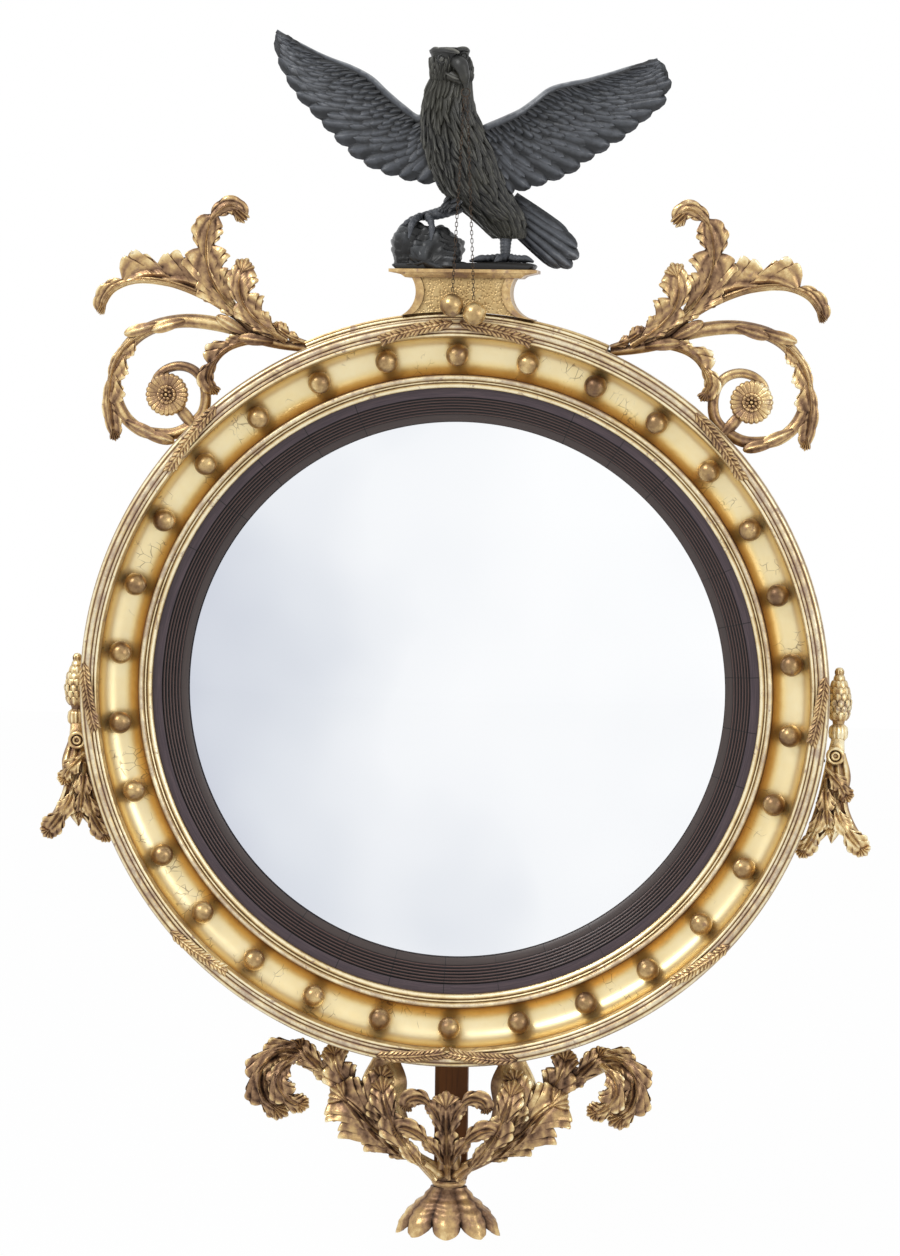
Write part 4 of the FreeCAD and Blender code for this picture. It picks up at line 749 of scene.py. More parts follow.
# %% The convex glass
plate_r, plate_t, sphere_r = 0.310, 0.004, 1.3405
sphere_y0 = -0.0218 + math.sqrt(sphere_r ** 2 - sight_r ** 2)


def dome(radius, rho):
    """Depth of the glass at a distance from the axis: y0 - sqrt(rho^2 - r^2)."""
    return sphere_y0 - np.sqrt(rho ** 2 - radius ** 2)


glass_rings = 60
ring_radii = plate_r * np.sin(np.linspace(0.02, math.pi / 2, glass_rings))
front_disc = np.stack([ring_radii, dome(ring_radii, sphere_r)], -1)
back_disc = np.stack([ring_radii[::-1], dome(ring_radii[::-1], sphere_r - plate_t)], -1)
glass_profile = np.concatenate([front_disc, back_disc])
glass_skin = turned(glass_profile, np.linspace(0, full_turn, 180, endpoint=False)).transpose(1, 0, 2)
skin("glass_dome", [(glass_skin,)], glass, replaces="mirror_plate", crease=60)


# %% Thirty balls
ball_r, ball_count, ball_set_r = 0.0125, 30, 0.366
ball_reach = cove_arc_r - ball_r - gesso_proud
ball_y = arc_y0 + math.sqrt(ball_reach ** 2 - (ball_set_r - arc_r0) ** 2)
rng = np.random.default_rng(3)


def balls(centres, radius, rings=20, around=26, dent=0.012):
    """Spheres: centre + R (cos b, sin b cos a, sin b sin a), with small dents in the radius that
    fade towards the poles."""
    b = np.linspace(0, np.pi, rings + 2)[1:-1]
    a = np.linspace(0, 2 * np.pi, around, endpoint=False)
    sin_b = np.sin(b)[:, None]
    shape = np.stack([np.cos(b)[:, None] + 0 * a, sin_b * np.cos(a), sin_b * np.sin(a)], -1)
    centres = np.asarray(centres, float)
    waves = rng.normal(size=(len(centres), 3, 3)) * 1.6
    phase = rng.uniform(0, 6.28, size=(len(centres), 3))
    bumps = np.sin(np.einsum("nki,uvi->nuvk", waves, shape) + phase[:, None, None]).mean(-1)
    size = radius * (1 - dent * 0.5 + dent * bumps)
    # painted shade and highlight: the tone is higher where the surface bulges and lower in the dents
    return centres[:, None, None] + shape[None] * size[..., None], 0.56 + 0.25 * bumps


clock = np.arange(ball_count) * full_turn / ball_count
ball_centres = np.stack([ball_set_r * np.sin(clock), np.full(ball_count, ball_y),
                         ball_set_r * np.cos(clock)], -1)
ball_skins, ball_tones = balls(ball_centres, ball_r)
skin("cove_balls", [(ball_skins, ball_tones)], gold_ball, replaces="gilt_balls")

# %% [markdown]
# ## Carved leaves
# The ornament is acanthus: a rib with flutes, and on both sides of it lobes that split into
# rounded fingers. Sculpting them one by one would take days. Here a frond is its rib, one closed
# sheet whose edge follows the lobes, and five fingers that close the tip. The lobes come as pairs
# of numbers: where along the rib, and how far out. The fingers are closed shells with a formula
# of their own, and the feathers of the eagle will be the same shells.

# %% Fingers, feathers and petals
chance = np.random.default_rng(11)


def blades(root, tip, width, out=outward, arch=0.0, curl=0.0, bow=0.0, thick=0.0024, ridges=1, cut=0.35,
           cup=0.12, rings=9, around=12, widest=0.6, stem=0.4, low=0.25):
    """Shells like fingers of a leaf or feathers, one for each row of root, tip and width. At the
    share u along the blade and the angle a round its section, with v = cos a and w = sin a, it is
    root + (tip - root) u + side (h(u) v + bow sin(pi u)) + front (arch sin(pi u) + curl u^3)
    + front thick (w (1 - v^4) + cut cos(pi ridges v) (1 - v^2) on the front) + front cup h v^2,
    where h rises from the root to its widest place and then rounds off as a quarter ellipse."""
    root, tip = np.atleast_2d(root), np.atleast_2d(tip)
    n = max(len(root), len(tip))

    def column(value):
        return np.broadcast_to(value, (n,))[:, None, None, None] * 1.0

    along = tip - root
    side = unit(np.cross(along, np.broadcast_to(out, (n, 3))))
    front = unit(np.cross(side, along))
    u = (1 - np.cos(np.linspace(0.02, 0.97, rings) * np.pi)) / 2
    a = np.linspace(0, 2 * np.pi, around, endpoint=False)
    v, w = np.cos(a), np.sin(a)
    rise = np.sin(np.pi / 2 * np.minimum(u / widest, 1))
    fall = np.sqrt(1 - np.clip((u - widest) / (1 - widest), 0, 1) ** 2)
    h = column(width) * ((stem + (1 - stem) * rise) * fall)[None, :, None, None]
    u4, v4, w4 = u[None, :, None, None], v[None, None, :, None], w[None, None, :, None]
    ridge = np.cos(np.pi * ridges * v4) * (1 - v4 ** 2) * (w4 > 0)
    body = np.minimum(1, h / (1.2 * column(thick) + 1e-9))
    across = h * v4 + column(bow) * np.sin(np.pi * u4)
    lift = (column(arch) * np.sin(np.pi * u4) + column(curl) * u4 ** 3 + column(cup) * h * v4 ** 2
            + column(thick) * body * (w4 * (1 - v4 ** 4) + cut * ridge))
    points = (root[:, None, None] + along[:, None, None] * u4 + side[:, None, None] * across
              + front[:, None, None] * lift)
    # painted shade and highlights: the tone rises towards the tip, on the ridge and at the edges
    tone = low + 0.35 * u4 + 0.35 * np.clip(ridge, -0.3, 1) + 0.12 * v4 ** 4
    run = np.linalg.norm(along, axis=-1)[:, None, None, None]
    comb = (u4 * run * 0.9 - np.abs(v4) * h * 0.9) / mm * 0.8
    return points, np.clip(tone[..., 0], 0, 1) + np.zeros((n, 1, 1)), False, comb[..., 0]


def flat(points, depths):
    """Points (x, z) in millimetres, set at depths y that are spread evenly along them, in metres."""
    p = np.asarray(points, float)
    at = np.linspace(0, 1, len(p))
    return np.stack([p[:, 0], np.interp(at, np.linspace(0, 1, len(depths)), depths), p[:, 1]], -1) * mm


def mirrored(parts):
    """The same parts on the other side of the plane x = 0."""
    return [(part[0] * np.array([-1.0, 1, 1]),) + tuple(part[1:]) for part in parts]


def run_length(line):
    """The length of the smooth curve through these points."""
    dense, _ = path(line, np.linspace(0, 1, 60))
    return np.linalg.norm(np.diff(dense, axis=0), axis=1).sum()


# %% The leaf sheet and the frond
def lobe_edge(s, lobes, rib, teeth=3, tooth=0.17):
    """Half width of one side of a leaf at the shares s of its rib, where that point lies within its
    lobe (0 to 1), and a wave that is 1 on each finger. A lobe reaches R * sin(pi q) ** 0.5, cut
    by teeth of |cos|, and never falls below a quarter of R, so that neighbours join."""
    at, reach = np.array(lobes, float).T
    middle = (at[1:] + at[:-1]) / 2
    bounds = np.concatenate([[max(at[0] - 0.6 * (middle[0] - at[0] if len(at) > 1 else 0.3), 0.0)], middle,
                             [min(1.0, at[-1] + (1 - at[-1]) * 0.95)]])
    i = np.clip(np.searchsorted(bounds, s) - 1, 0, len(at) - 1)
    q = np.clip((s - bounds[i]) / (bounds[i + 1] - bounds[i]), 0, 1)
    finger = np.abs(np.cos(np.pi * teeth * (q - 0.5)))
    swell = np.sin(np.pi * q) ** 0.5
    width = reach[i] * 1.08 * mm * (0.24 + 0.76 * swell) * (1 - tooth + tooth * finger ** 0.7)
    inside = (s >= bounds[0]) & (s <= bounds[-1])
    return np.where(inside, np.maximum(width, rib * mm), rib * mm), q, np.where(inside, finger, 0.3)


def leaf_sheet(line, left, right, rib=2.6, thick=0.0022, back=2.0, cut=0.0016, around=40, per_lobe=22):
    """A lobed leaf as one closed sheet of lines that leave the rib at a slant and bend outwards, as
    a gouge does. The line of the share s, with v across from -1 to 1 and h its half width there,
    runs from the rib at s - back h (1 - |v|)^1.3 / length out to side * h |v|^1.25. Its lift is a
    lens thick * (1 - v^6), the rib's ridge, flutes of cos(2 pi k v) that run along the rib, short
    cuts between the fingers near the edge, a swell in the middle of each lobe, and a cup that
    raises the edge."""
    length = run_length(line)
    s = np.linspace(0.004, 0.996, per_lobe * max(len(left), len(right)) + 10)
    a = np.linspace(0, 2 * np.pi, around, endpoint=False)
    v, w = np.cos(a)[None], np.sin(a)[None]
    sides = [lobe_edge(s, lobes, rib) for lobes in (left, right)]
    half, q, finger = (np.where(v > 0, l[:, None], r[:, None]) for l, r in zip(*sides))
    mean = (sides[0][0] + sides[1][0])[:, None] / 2
    far = np.abs(v)
    slip = back * (half * far + mean * (1 - far)) * (1 - far) ** 1.3 / length
    centre, ahead = path(line, np.clip(s[:, None] - slip * np.minimum(1, s * 5)[:, None], 0, 1))
    side = unit(np.cross(outward, ahead))
    front = unit(np.cross(ahead, side))
    taper = np.minimum(1, np.minimum(s, 1 - s) * 30)[:, None]
    on_front = np.clip(w * 3, 0, 1)
    lens = thick * taper * w * (1 - v ** 6)
    near_edge = np.clip((far - 0.30) / 0.55, 0, 1) ** 1.5
    gouge = cut * (finger ** 0.7 - 0.6) * np.clip(half / 0.009, 0.2, 1.5) * near_edge
    flutes = 1.2 + max(reach for _, reach in left + right) / 18
    wave = np.cos(2 * np.pi * flutes * far)
    flute = np.minimum(0.07 * half, 0.0018) * wave * (1 - far ** 4) * on_front
    lobe = np.sin(np.pi * q) - 0.6
    spine = 0.8 * rib * mm * np.exp(-(half * far / (0.6 * rib * mm)) ** 2) * on_front * taper
    swell = (0.16 * lobe + 0.20 * (q - 0.5)) * far ** 1.3 * np.clip(half / 0.010, 0, 1)
    cup = half * (0.14 * far ** 2 + swell)
    lift = lens + gouge * on_front + flute + spine + cup
    across = half * np.sign(v) * far ** 1.25
    points = centre + side * across[..., None] + front * lift[..., None]
    # painted shade and highlights: the tone is higher on flute ridges, fingers, lobes, the rib and the edge,
    # and lower on the back
    tone = (0.43 + 0.17 * wave * on_front + 0.20 * (finger - 0.6) * near_edge + 0.22 * far ** 4
            + 0.24 * lobe * far + 0.15 * (spine > 0.0008))
    comb = s[:, None] * length / mm * 0.5 + 0 * v
    return points[None], np.clip(tone - 0.25 * (w < -0.3), 0.05, 1)[None], False, comb[None]


def frond(points, depths, left, right, rib=2.6, fan=7.0, thick=0.0022, cut=0.0016):
    """An acanthus frond. Each lobe is a pair: the share s of the rib's length where it points, and
    its reach in millimetres. Left is the side on the left hand of the rib's direction. Five
    fingers close the tip."""
    line = flat(points, depths)
    parts = [bar(line, np.array([rib, rib * 0.95, rib * 0.4]) * mm, 48, 12, flutes=3, depth=0.3),
             leaf_sheet(line, left, right, rib, thick, cut=cut)]
    if fan:
        end, ahead = path(line, np.ones(5))
        base, _ = path(line, np.array([0.86, 0.88, 0.88, 0.90, 0.90]))
        normal = unit(np.cross(outward, ahead))
        swing = np.array([0.0, 0.45, -0.45, 0.85, -0.85])[:, None]
        tip = end + ahead * fan * mm * (0.45 - 0.55 * np.abs(swing)) + normal * swing * fan * mm
        parts.append(blades(base, tip, fan * mm * np.array([0.36, 0.34, 0.34, 0.30, 0.30]), arch=0.0016,
                            curl=0.0016, thick=thick * 0.8, cut=0.6))
    return parts


def fronds(plans, **kind):
    """Several fronds, each planned as frond() takes it."""
    return [part for plan in plans for part in frond(*plan, **kind)]


def carved_pair(name, node, parts, side="left", crease=50):
    """A gilt carving on one side of the mirror, and its mirror image on the other."""
    other = "right" if side == "left" else "left"
    for where, shapes in ((side, parts), (other, mirrored(parts))):
        skin(f"{name}_{where}", shapes, gold_carved, f"{node}_{where}", crease=crease)


# %% [markdown]
# The two scrolls beside the crest start as one stem on the ring's shoulder, spiral in to a
# rosette, and throw off fronds on the way. The plan is a list of points along each rib, taken in
# millimetres, and the right scroll is the left one mirrored.

# %% The two scrolls
STEM = [(-164, 371), (-190, 375), (-222, 383), (-250, 393), (-280, 398), (-306, 398), (-332, 392),
        (-352, 380), (-367, 361), (-374, 340), (-373, 315), (-363, 294), (-346, 280), (-328, 276),
        (-308, 277), (-291, 286), (-278, 300), (-275, 318), (-279, 335), (-289, 346), (-303, 350),
        (-317, 347), (-328, 338), (-331, 328)]
STEM_RADII = np.array([5, 7.5, 8.2, 7.6, 7.2, 7, 7, 6.4, 5.6, 5.0]) * mm
STALK = [(-286, 284), (-296, 296), (-306, 308)]
STALK_RADII = np.array([6, 7.0, 6]) * mm
SCROLL_FRONDS = [    # rib, depths, lobes on the left, lobes on the right, thickness of the rib, tip
    ([(-196, 380), (-222, 391), (-246, 408), (-270, 423), (-303, 437), (-333, 443), (-357, 441),
      (-376, 432), (-387, 418), (-391, 406)], [-44, -46, -56, -52, -38], [(0.5, 4.6)],
     [(0.26, 12), (0.42, 25), (0.57, 34), (0.72, 30), (0.87, 12)], 4.4, 4.5),
    ([(-210, 384), (-240, 408), (-258, 428), (-270, 451), (-273, 475), (-270, 499), (-262, 514),
      (-248, 523), (-237, 520), (-233, 508)], [-46, -52, -58, -62, -54],
     [(0.24, 11), (0.38, 21), (0.52, 25), (0.67, 17), (0.86, 10)],
     [(0.28, 9), (0.42, 24), (0.54, 25), (0.69, 16), (0.88, 10)], 4.2, 8),
    ([(-186, 378), (-208, 392), (-226, 408), (-236, 428), (-236, 448), (-230, 462)],
     [-48, -54, -60, -54], [(0.3, 10), (0.5, 14), (0.72, 12)], [(0.30, 15), (0.54, 23), (0.80, 20)], 3.4, 12),
    ([(-164, 376), (-184, 384), (-200, 396)], [-44, -46, -48], [(0.3, 5), (0.7, 6)],
     [(0.4, 7), (0.75, 9)], 2.8, 6),
    ([(-214, 380), (-240, 374), (-256, 365), (-267, 350), (-271, 336), (-263, 322)],
     [-44, -48, -50, -44], [(0.3, 3), (0.9, 6)], [(0.28, 12), (0.52, 17), (0.8, 12)], 3.4, 7),
    ([(-340, 388), (-360, 372), (-374, 350), (-379, 325), (-379, 298), (-374, 270)],
     [-44, -46, -46, -38], [(0.2, 12), (0.42, 17), (0.62, 17), (0.82, 11)], [(0.3, 6), (0.7, 8)], 3.8, 6),
]
scroll_parts = [bar(flat(STEM, [-40]), STEM_RADII, 150, 20, flutes=5, depth=0.16, twist=2.4),
                bar(flat(STALK, [-42]), STALK_RADII, 14, 14, flutes=5, depth=0.15)]
scroll_parts += fronds(SCROLL_FRONDS)
sheath_at = np.array([0.10, 0.16, 0.30, 0.36, 0.62, 0.66])      # shares of the stem's length
sheath_middle, sheath_ahead = path(flat(STEM, [-46]), sheath_at)
sheath_side = unit(np.cross(outward, sheath_ahead)) * np.array([1, -1, 1, -1, 1, -1])[:, None]
sheath_root = sheath_middle - sheath_ahead * 0.012
sheath_tip = sheath_middle + sheath_ahead * 0.026 + sheath_side * 0.006
scroll_parts.append(blades(sheath_root, sheath_tip, 0.0065, arch=0.003, curl=0.002, ridges=2, rings=12,
                           around=16))
carved_pair("scroll_carving", "scroll", scroll_parts)


# %% Rosettes
def petal_disc(middle, radius, petals, front, back, dish, rings=26, around=200):
    """A daisy's ring of petals as one closed disc. At the share s from the middle and the angle a
    the radius is R s (1 - 0.07 s^6 (1 - |cos(n a / 2)|)), and the depth is a dish with petals
    that stand between grooves, each with a line down its middle."""
    a = np.linspace(0, full_turn, around, endpoint=False)[None]
    s = np.sin(np.linspace(0.05, 1.0, rings) * np.pi / 2)[:, None]
    petal = np.abs(np.cos(petals * a / 2))
    r = radius * s * (1 - 0.07 * s ** 6 * (1 - petal ** 0.6))
    fold = petal ** 0.5 - 0.30 * np.exp(-((1 - petal) / 0.03) ** 2)
    edge = np.sqrt(np.clip(1 - s ** 18, 0, 1))
    depth = back + (front - back) * edge * (1 - dish * (1 - s) ** 1.5) * (0.78 + 0.22 * fold * s)
    face = np.stack([r * np.sin(a), depth, r * np.cos(a)], -1)
    rear = np.stack([r * np.sin(a), 0 * depth + back, r * np.cos(a)], -1)
    points = middle * mm + np.concatenate([face, rear[::-1]]) * mm
    # painted shade and highlights: the tone is higher on the petals' folds and towards the rim, and the rear
    # is darker
    tone = np.concatenate([0.34 + 0.30 * fold * s + 0.12 * s, 0 * fold * s + 0.3])
    return points[None], np.clip(tone, 0, 1)[None], False, np.concatenate([r * 0.4, r[::-1] * 0.4])[None]


def rosette(centre, radius, back):
    """A daisy: a wide ring of petals, a small one on it, and eight knobs in the middle."""
    middle = np.array([centre[0], back, centre[1]], float)
    parts = [petal_disc(middle, radius, 24, -6.6, 0.0, 0.3),
             petal_disc(middle, radius * 0.46, 12, -8.2, -2.0, 0.4)]
    knob_a = np.concatenate([[0], np.arange(7) * full_turn / 7])
    knob_r = np.concatenate([[0], np.full(7, 0.19)]) * radius
    knob_y = np.concatenate([[-9.2], np.full(7, -8.6)])
    knobs = middle + np.stack([knob_r * np.sin(knob_a), knob_y, knob_r * np.cos(knob_a)], -1)
    parts.append(balls(knobs * mm, 0.086 * radius * mm, 8, 12, dent=0.05))
    return parts


carved_pair("rosette_carving", "rosette", rosette((-316, 319), 23.6, -47.3), crease=40)

# %% [markdown]
# Five leaf ties cross the rim on each side, each a band of small overlapping leaves that slants
# from the rim's outer edge to its inner one. A band is easiest as a run of blades whose roots
# follow the slant, each laid over the next, with a strip of gesso under them.


# %% Ties across the rim
rim_front = rim_section[0][:-4]
rim_front = rim_front[np.argsort(rim_front[:, 0])]
TIE_SPANS = [(0.6, 11.6), (40, 52), (86, 96), (131, 141), (169, 179.2)]      # degrees past twelve
strip_half, strip_thick = 0.0052, 0.0016


def on_rim(clock_angle, radius):
    """A point on the rim's front, at a clock angle. The depth comes from the rim's own section."""
    depth = np.interp(radius, rim_front[:, 0], rim_front[:, 1])
    return np.stack([radius * np.sin(clock_angle), depth, radius * np.cos(clock_angle)], -1)


tie_parts = []
for start, end in TIE_SPANS:
    s = np.linspace(0, 1, 24)
    clock_angle = np.radians(start + (end - start) * s)
    radius = rim_r - 0.0045 - (rim_r - cove_out_r - 0.009) * s
    line = on_rim(clock_angle, radius)
    ahead = unit(np.gradient(line, axis=0))
    side = unit(np.cross(outward, ahead))
    a = np.linspace(0, full_turn, 10, endpoint=False)
    across = side[:, None] * (strip_half * np.cos(a))[:, None]
    lift = outward * (0.0003 + strip_thick * np.sin(a))[:, None]
    ends = (np.sin(np.pi * (0.04 + 0.92 * s)) ** 0.4)[:, None, None]
    # painted shade: the strip under the leaves gets a low tone of 0.3
    tie_parts.append(((line[:, None] + (across + lift) * ends)[None], 0.3))
    for sign in (1, -1, 0):
        pick = np.linspace(0.02, 0.93, 14) + 0.02 * sign
        at = np.stack([np.interp(pick, s, line[:, k]) for k in range(3)], -1)
        go = np.stack([np.interp(pick, s, ahead[:, k]) for k in range(3)], -1)
        out = np.stack([np.interp(pick, s, side[:, k]) for k in range(3)], -1)
        shake = chance.uniform(0.85, 1.15, (len(pick), 1))
        root = at + outward * (0.0012 if sign else 0.0016)
        tip = root + go * 0.0095 * shake + out * sign * 0.0058 * shake + outward * 0.0004
        tie_parts.append(blades(root, tip, 0.0022, thick=0.0011, arch=0.0008, curl=-0.0004, cut=0.5, rings=6,
                                around=8))
skin("leaf_ties_carving", tie_parts + mirrored(tie_parts), gold_carved, "leaf_ties")

# %% [markdown]
# At three and at nine o'clock hangs a drop: a bud of scales, a knot, a round eye and a long leaf
# that parts at its foot. The bud is a spindle covered with scales like a pine cone's: rows of
# blades, every second row turned by half a step.

# %% Side drops
def spindle(centre_x, centre_y, z_top, z_low, radii, rings=26, around=22):
    """A turned form: at the share s down from the top, a ring of radius r(s), a cosine ease
    between the given radii."""
    s = np.linspace(0, 1, rings)
    radius = along_values(radii, s)[:, None]
    a = np.linspace(0, full_turn, around, endpoint=False)
    return np.stack([centre_x + radius * np.cos(a), centre_y - radius * np.sin(a),
                     (z_top + (z_low - z_top) * s)[:, None] + 0 * a], -1)


def scales(centre_x, centre_y, z_top, z_low, radii, rows, count, length, width, lift=0.0012):
    """Rows of blades round a spindle, pointing up, every second row turned by half a step."""
    row, k = np.meshgrid(np.arange(rows), np.arange(count), indexing="ij")
    s = 1 - (row + 0.6) / (rows + 0.4)
    a = (k + 0.5 * (row % 2) + 0.25) / count * full_turn
    ray = np.stack([np.cos(a), -np.sin(a), 0 * a], -1).reshape(-1, 3)
    radius = along_values(radii, s).reshape(-1, 1)
    base = np.array([centre_x, centre_y, 0]) + ray * (radius - 0.0006)
    base[:, 2] = (z_top + (z_low - z_top) * s).ravel()
    higher = along_values(radii, np.clip(s - length / (z_top - z_low), 0, 1)).reshape(-1, 1)
    tip = np.array([centre_x, centre_y, 0]) + ray * (higher + lift)
    tip[:, 2] = base[:, 2] + length
    return blades(base, tip, width, out=ray, arch=0.0012, thick=0.0012, cut=0.4, rings=6, around=8,
                  widest=0.5)


def tongue(edge_a, edge_b, depths, thick=4.0, flutes=3.5, rings=60, around=44):
    """A fluted leaf between two edge lines. At the share s along them and k across, it is
    a(s) + (b(s) - a(s)) k, with a lens of thick * 2 sqrt(k (1 - k)) in front, fluted by the cosine
    of 2 pi flutes k, and the same without flutes behind."""
    s = np.linspace(0.0, 1.0, rings)
    a_line, b_line = path(edge_a, s)[0], path(edge_b, s)[0]
    turn = np.linspace(0, full_turn, around, endpoint=False)
    k, w = (1 - np.cos(turn)) / 2, np.sin(turn)
    xz = a_line[:, None] + (b_line - a_line)[:, None] * k[None, :, None]
    ripple = np.cos(2 * np.pi * flutes * k)[None] * (w > 0)
    rise = thick * w[None] * (1 + 0.32 * ripple) * (0.6 + 0.4 * np.sin(np.pi * s))[:, None]
    y = along_values(depths, s)[:, None] - rise
    points = np.stack([xz[..., 0], y, xz[..., 1]], -1) * mm
    # painted shade and highlights: the tone is high on the ridges of the flutes and low in their grooves
    tone = np.clip(0.56 + 0.22 * ripple + 0 * rise, 0.05, 1)
    comb = np.linalg.norm(b_line - a_line, axis=-1)[:, None] * k * 0.6
    return points[None], tone[None], False, comb[None]


drop_x, drop_y, drop_eye_z = 0.416, -0.032, -0.060
bud_top, bud_foot, knot_top, knot_foot = 0.0295, -0.0265, -0.0262, -0.0455
BUD_RADII = np.array([0.6, 4.6, 8.8, 11.4, 11.6, 9.8, 6.2]) * mm
KNOT_RADII = np.array([5.8, 10.2, 10.8, 10.4, 7.0]) * mm
NECK = np.array([[415.5, -34, -44], [414.5, -37, -54], [413, -36, -70]]) * mm
DROP_TONGUES = [     # two edges, depths, thickness, flutes
    ([(405, -58), (399, -86), (392, -116), (383, -144), (375, -170)],
     [(419, -58), (421, -88), (417, -118), (407, -143), (379, -171)], [-36, -49, -53, -47], 7.0, 2.5),
    ([(407, -58), (407, -86), (409, -116), (419, -142), (446, -168)],
     [(424, -58), (430, -82), (427, -108), (435, -132), (453, -160)], [-36, -49, -53, -47], 7.0, 2.5),
    ([(404, -96), (400, -120), (404, -140), (409, -153)],
     [(418, -96), (421, -120), (420, -140), (411, -155)], [-50, -56, -56, -50], 5.0, 1.5),
]
DROP_FRONDS = [
    ([(404, -74), (412, -82), (420, -92), (427, -105)], [-52, -58, -60, -54],
     [(0.45, 10), (0.85, 9)], [(0.45, 10), (0.85, 9)], 3.2, 9),
    ([(402, -104), (397, -124), (390, -144), (378, -168)], [-56, -62, -62, -50],
     [(0.35, 9), (0.75, 12)], [(0.4, 8), (0.8, 9)], 3.4, 8),
    ([(413, -108), (419, -126), (430, -144), (446, -163)], [-57, -64, -64, -52],
     [(0.35, 10), (0.75, 13)], [(0.35, 10), (0.75, 12)], 3.6, 10),
    ([(404, -84), (403, -104), (405, -124), (408, -142)], [-54, -61, -63, -56],
     [(0.4, 10), (0.8, 9)], [(0.4, 10), (0.8, 9)], 3.4, 8),
]
drop_highlight_lift = 0.15      # the drops' tone is raised, a painted highlight that makes them lighter than the other carving


def drop_parts():
    """The drop at the viewer's right, in metres."""
    # painted shade: the core under the scales gets a low tone of 0.3
    parts = [(spindle(drop_x, drop_y, bud_top, bud_foot, BUD_RADII), 0.3),
             scales(drop_x, drop_y, bud_top, bud_foot, BUD_RADII, 8, 10, 0.010, 0.0039)]
    a = np.linspace(0, full_turn, 48, endpoint=False)
    rings = spindle(drop_x, drop_y, knot_top, knot_foot, KNOT_RADII, rings=14, around=48)
    centre = np.array([drop_x, drop_y, 0])
    crest = np.abs(np.sin(6 * a + 1.2))
    groove = 1 - 0.16 * (1 - crest)[None, :, None]
    rings[..., :2] = (centre + (rings - centre) * groove)[..., :2]
    # painted shade and highlight: the tone is low in the knot's grooves and high on its crests
    parts.append((rings[None], (0.3 + 0.5 * crest)[None, None]))
    parts.append(bar(NECK, [0.008, 0.0095, 0.008], 14, 18, flutes=4, depth=0.1))
    turn = np.linspace(0, full_turn, 30, endpoint=False)
    tube = np.linspace(0, full_turn, 10, endpoint=False)
    eye_x = drop_x - 0.003
    for radius, thin, y in ((0.0080, 0.0022, -0.0478), (0.0036, 0.0015, -0.0492)):
        swirl = radius + thin * np.cos(tube)
        eye = np.stack([eye_x + swirl * np.cos(turn)[:, None], y - thin * np.sin(tube) + 0 * turn[:, None],
                        drop_eye_z + swirl * np.sin(turn)[:, None]], -1)
        parts.append((eye[None], 0.55, True))
    parts.append(balls([(eye_x, -0.0400, drop_eye_z)], 0.0085, 14, 18))
    parts += [tongue(*plan) for plan in DROP_TONGUES]
    parts += fronds(DROP_FRONDS, thick=0.003)
    # painted highlight: every part of the drop gets the raised tone
    return [(part[0], np.clip(part[1] + drop_highlight_lift, 0, 1)) + tuple(part[2:]) for part in parts]


carved_pair("side_drop_carving", "side_drop", drop_parts(), side="right")

# %% [markdown]
# ## The apron
# Below the ring the leaves spring from one collar: a large spray to each side that ends in a
# rolled leaf, a pair of inner leaves, and a tall one in the middle that leans forward. Under the
# collar hangs a bell of nine leaves.

# %% Apron sprays
SPRAY_STEM = [(-10, -529), (-34, -517), (-60, -500), (-84, -474), (-102, -449), (-122, -430),
              (-146, -420), (-166, -410)]
SPRAY_RADII = np.array([7, 8, 8, 7, 7, 6]) * mm
SPRAY_TONGUE = ([(-48, -486), (-84, -456), (-96, -430), (-84, -402)],
                [(-42, -484), (-48, -454), (-46, -426), (-56, -402)], [-36, -46, -52, -46], 12.0, 1.5, 50, 40)
SPRAY_FRONDS = [     # rib, depths, lobes on the left, lobes on the right, rib, tip, thickness, cut
    ([(-24, -522), (-54, -504), (-80, -480), (-102, -456), (-124, -440)], [-38, -44, -56, -62, -52],
     [(0.26, 13), (0.48, 24), (0.70, 33), (0.90, 30)], [(0.25, 11), (0.46, 19), (0.68, 27), (0.88, 28)],
     4.4, 17, 0.0032, 0.0024),
    ([(-58, -484), (-72, -460), (-78, -438), (-70, -414)], [-54, -64, -70, -60],
     [(0.4, 15), (0.8, 17)], [(0.4, 15), (0.8, 17)], 3.8, 13, 0.0032, 0.0022),
    ([(-88, -462), (-108, -438), (-122, -416), (-128, -392)], [-40, -46, -50, -42],
     [(0.35, 15), (0.65, 20), (0.9, 15)], [(0.35, 15), (0.65, 20), (0.9, 15)], 3.8, 13, 0.0032, 0.0022),
    ([(-116, -434), (-136, -420), (-154, -404), (-168, -390)], [-36, -42, -46, -40],
     [(0.35, 13), (0.75, 15)], [(0.35, 12), (0.75, 13)], 4.2, 10, 0.0032, 0.0022),
    ([(-150, -404), (-176, -396), (-196, -404), (-206, -424), (-200, -446), (-180, -464)],
     [-34, -46, -64, -72, -60], [(0.14, 16), (0.34, 26), (0.56, 34), (0.8, 24)],
     [(0.15, 12), (0.34, 17), (0.54, 19), (0.72, 18), (0.9, 13)], 4.4, 13, 0.0034, 0.0024),
    ([(-166, -402), (-180, -412), (-184, -428), (-172, -446), (-156, -454)], [-58, -70, -80, -78, -66],
     [(0.3, 12), (0.6, 17), (0.85, 13)], [(0.3, 10), (0.6, 14), (0.85, 11)], 3.8, 10, 0.0032, 0.0022),
]
INNER_STALK = np.array([(-6, -46, -531), (-14, -58, -526), (-26, -66, -515)]) * mm
INNER_FROND = ([(-12, -533), (-34, -508), (-54, -478), (-66, -448), (-72, -424)], [-66, -68, -76, -82, -70],
               [(0.3, 10), (0.58, 17), (0.86, 15)], [(0.3, 9), (0.58, 15), (0.86, 14)],
               3.8, 13, 0.003, 0.0022)
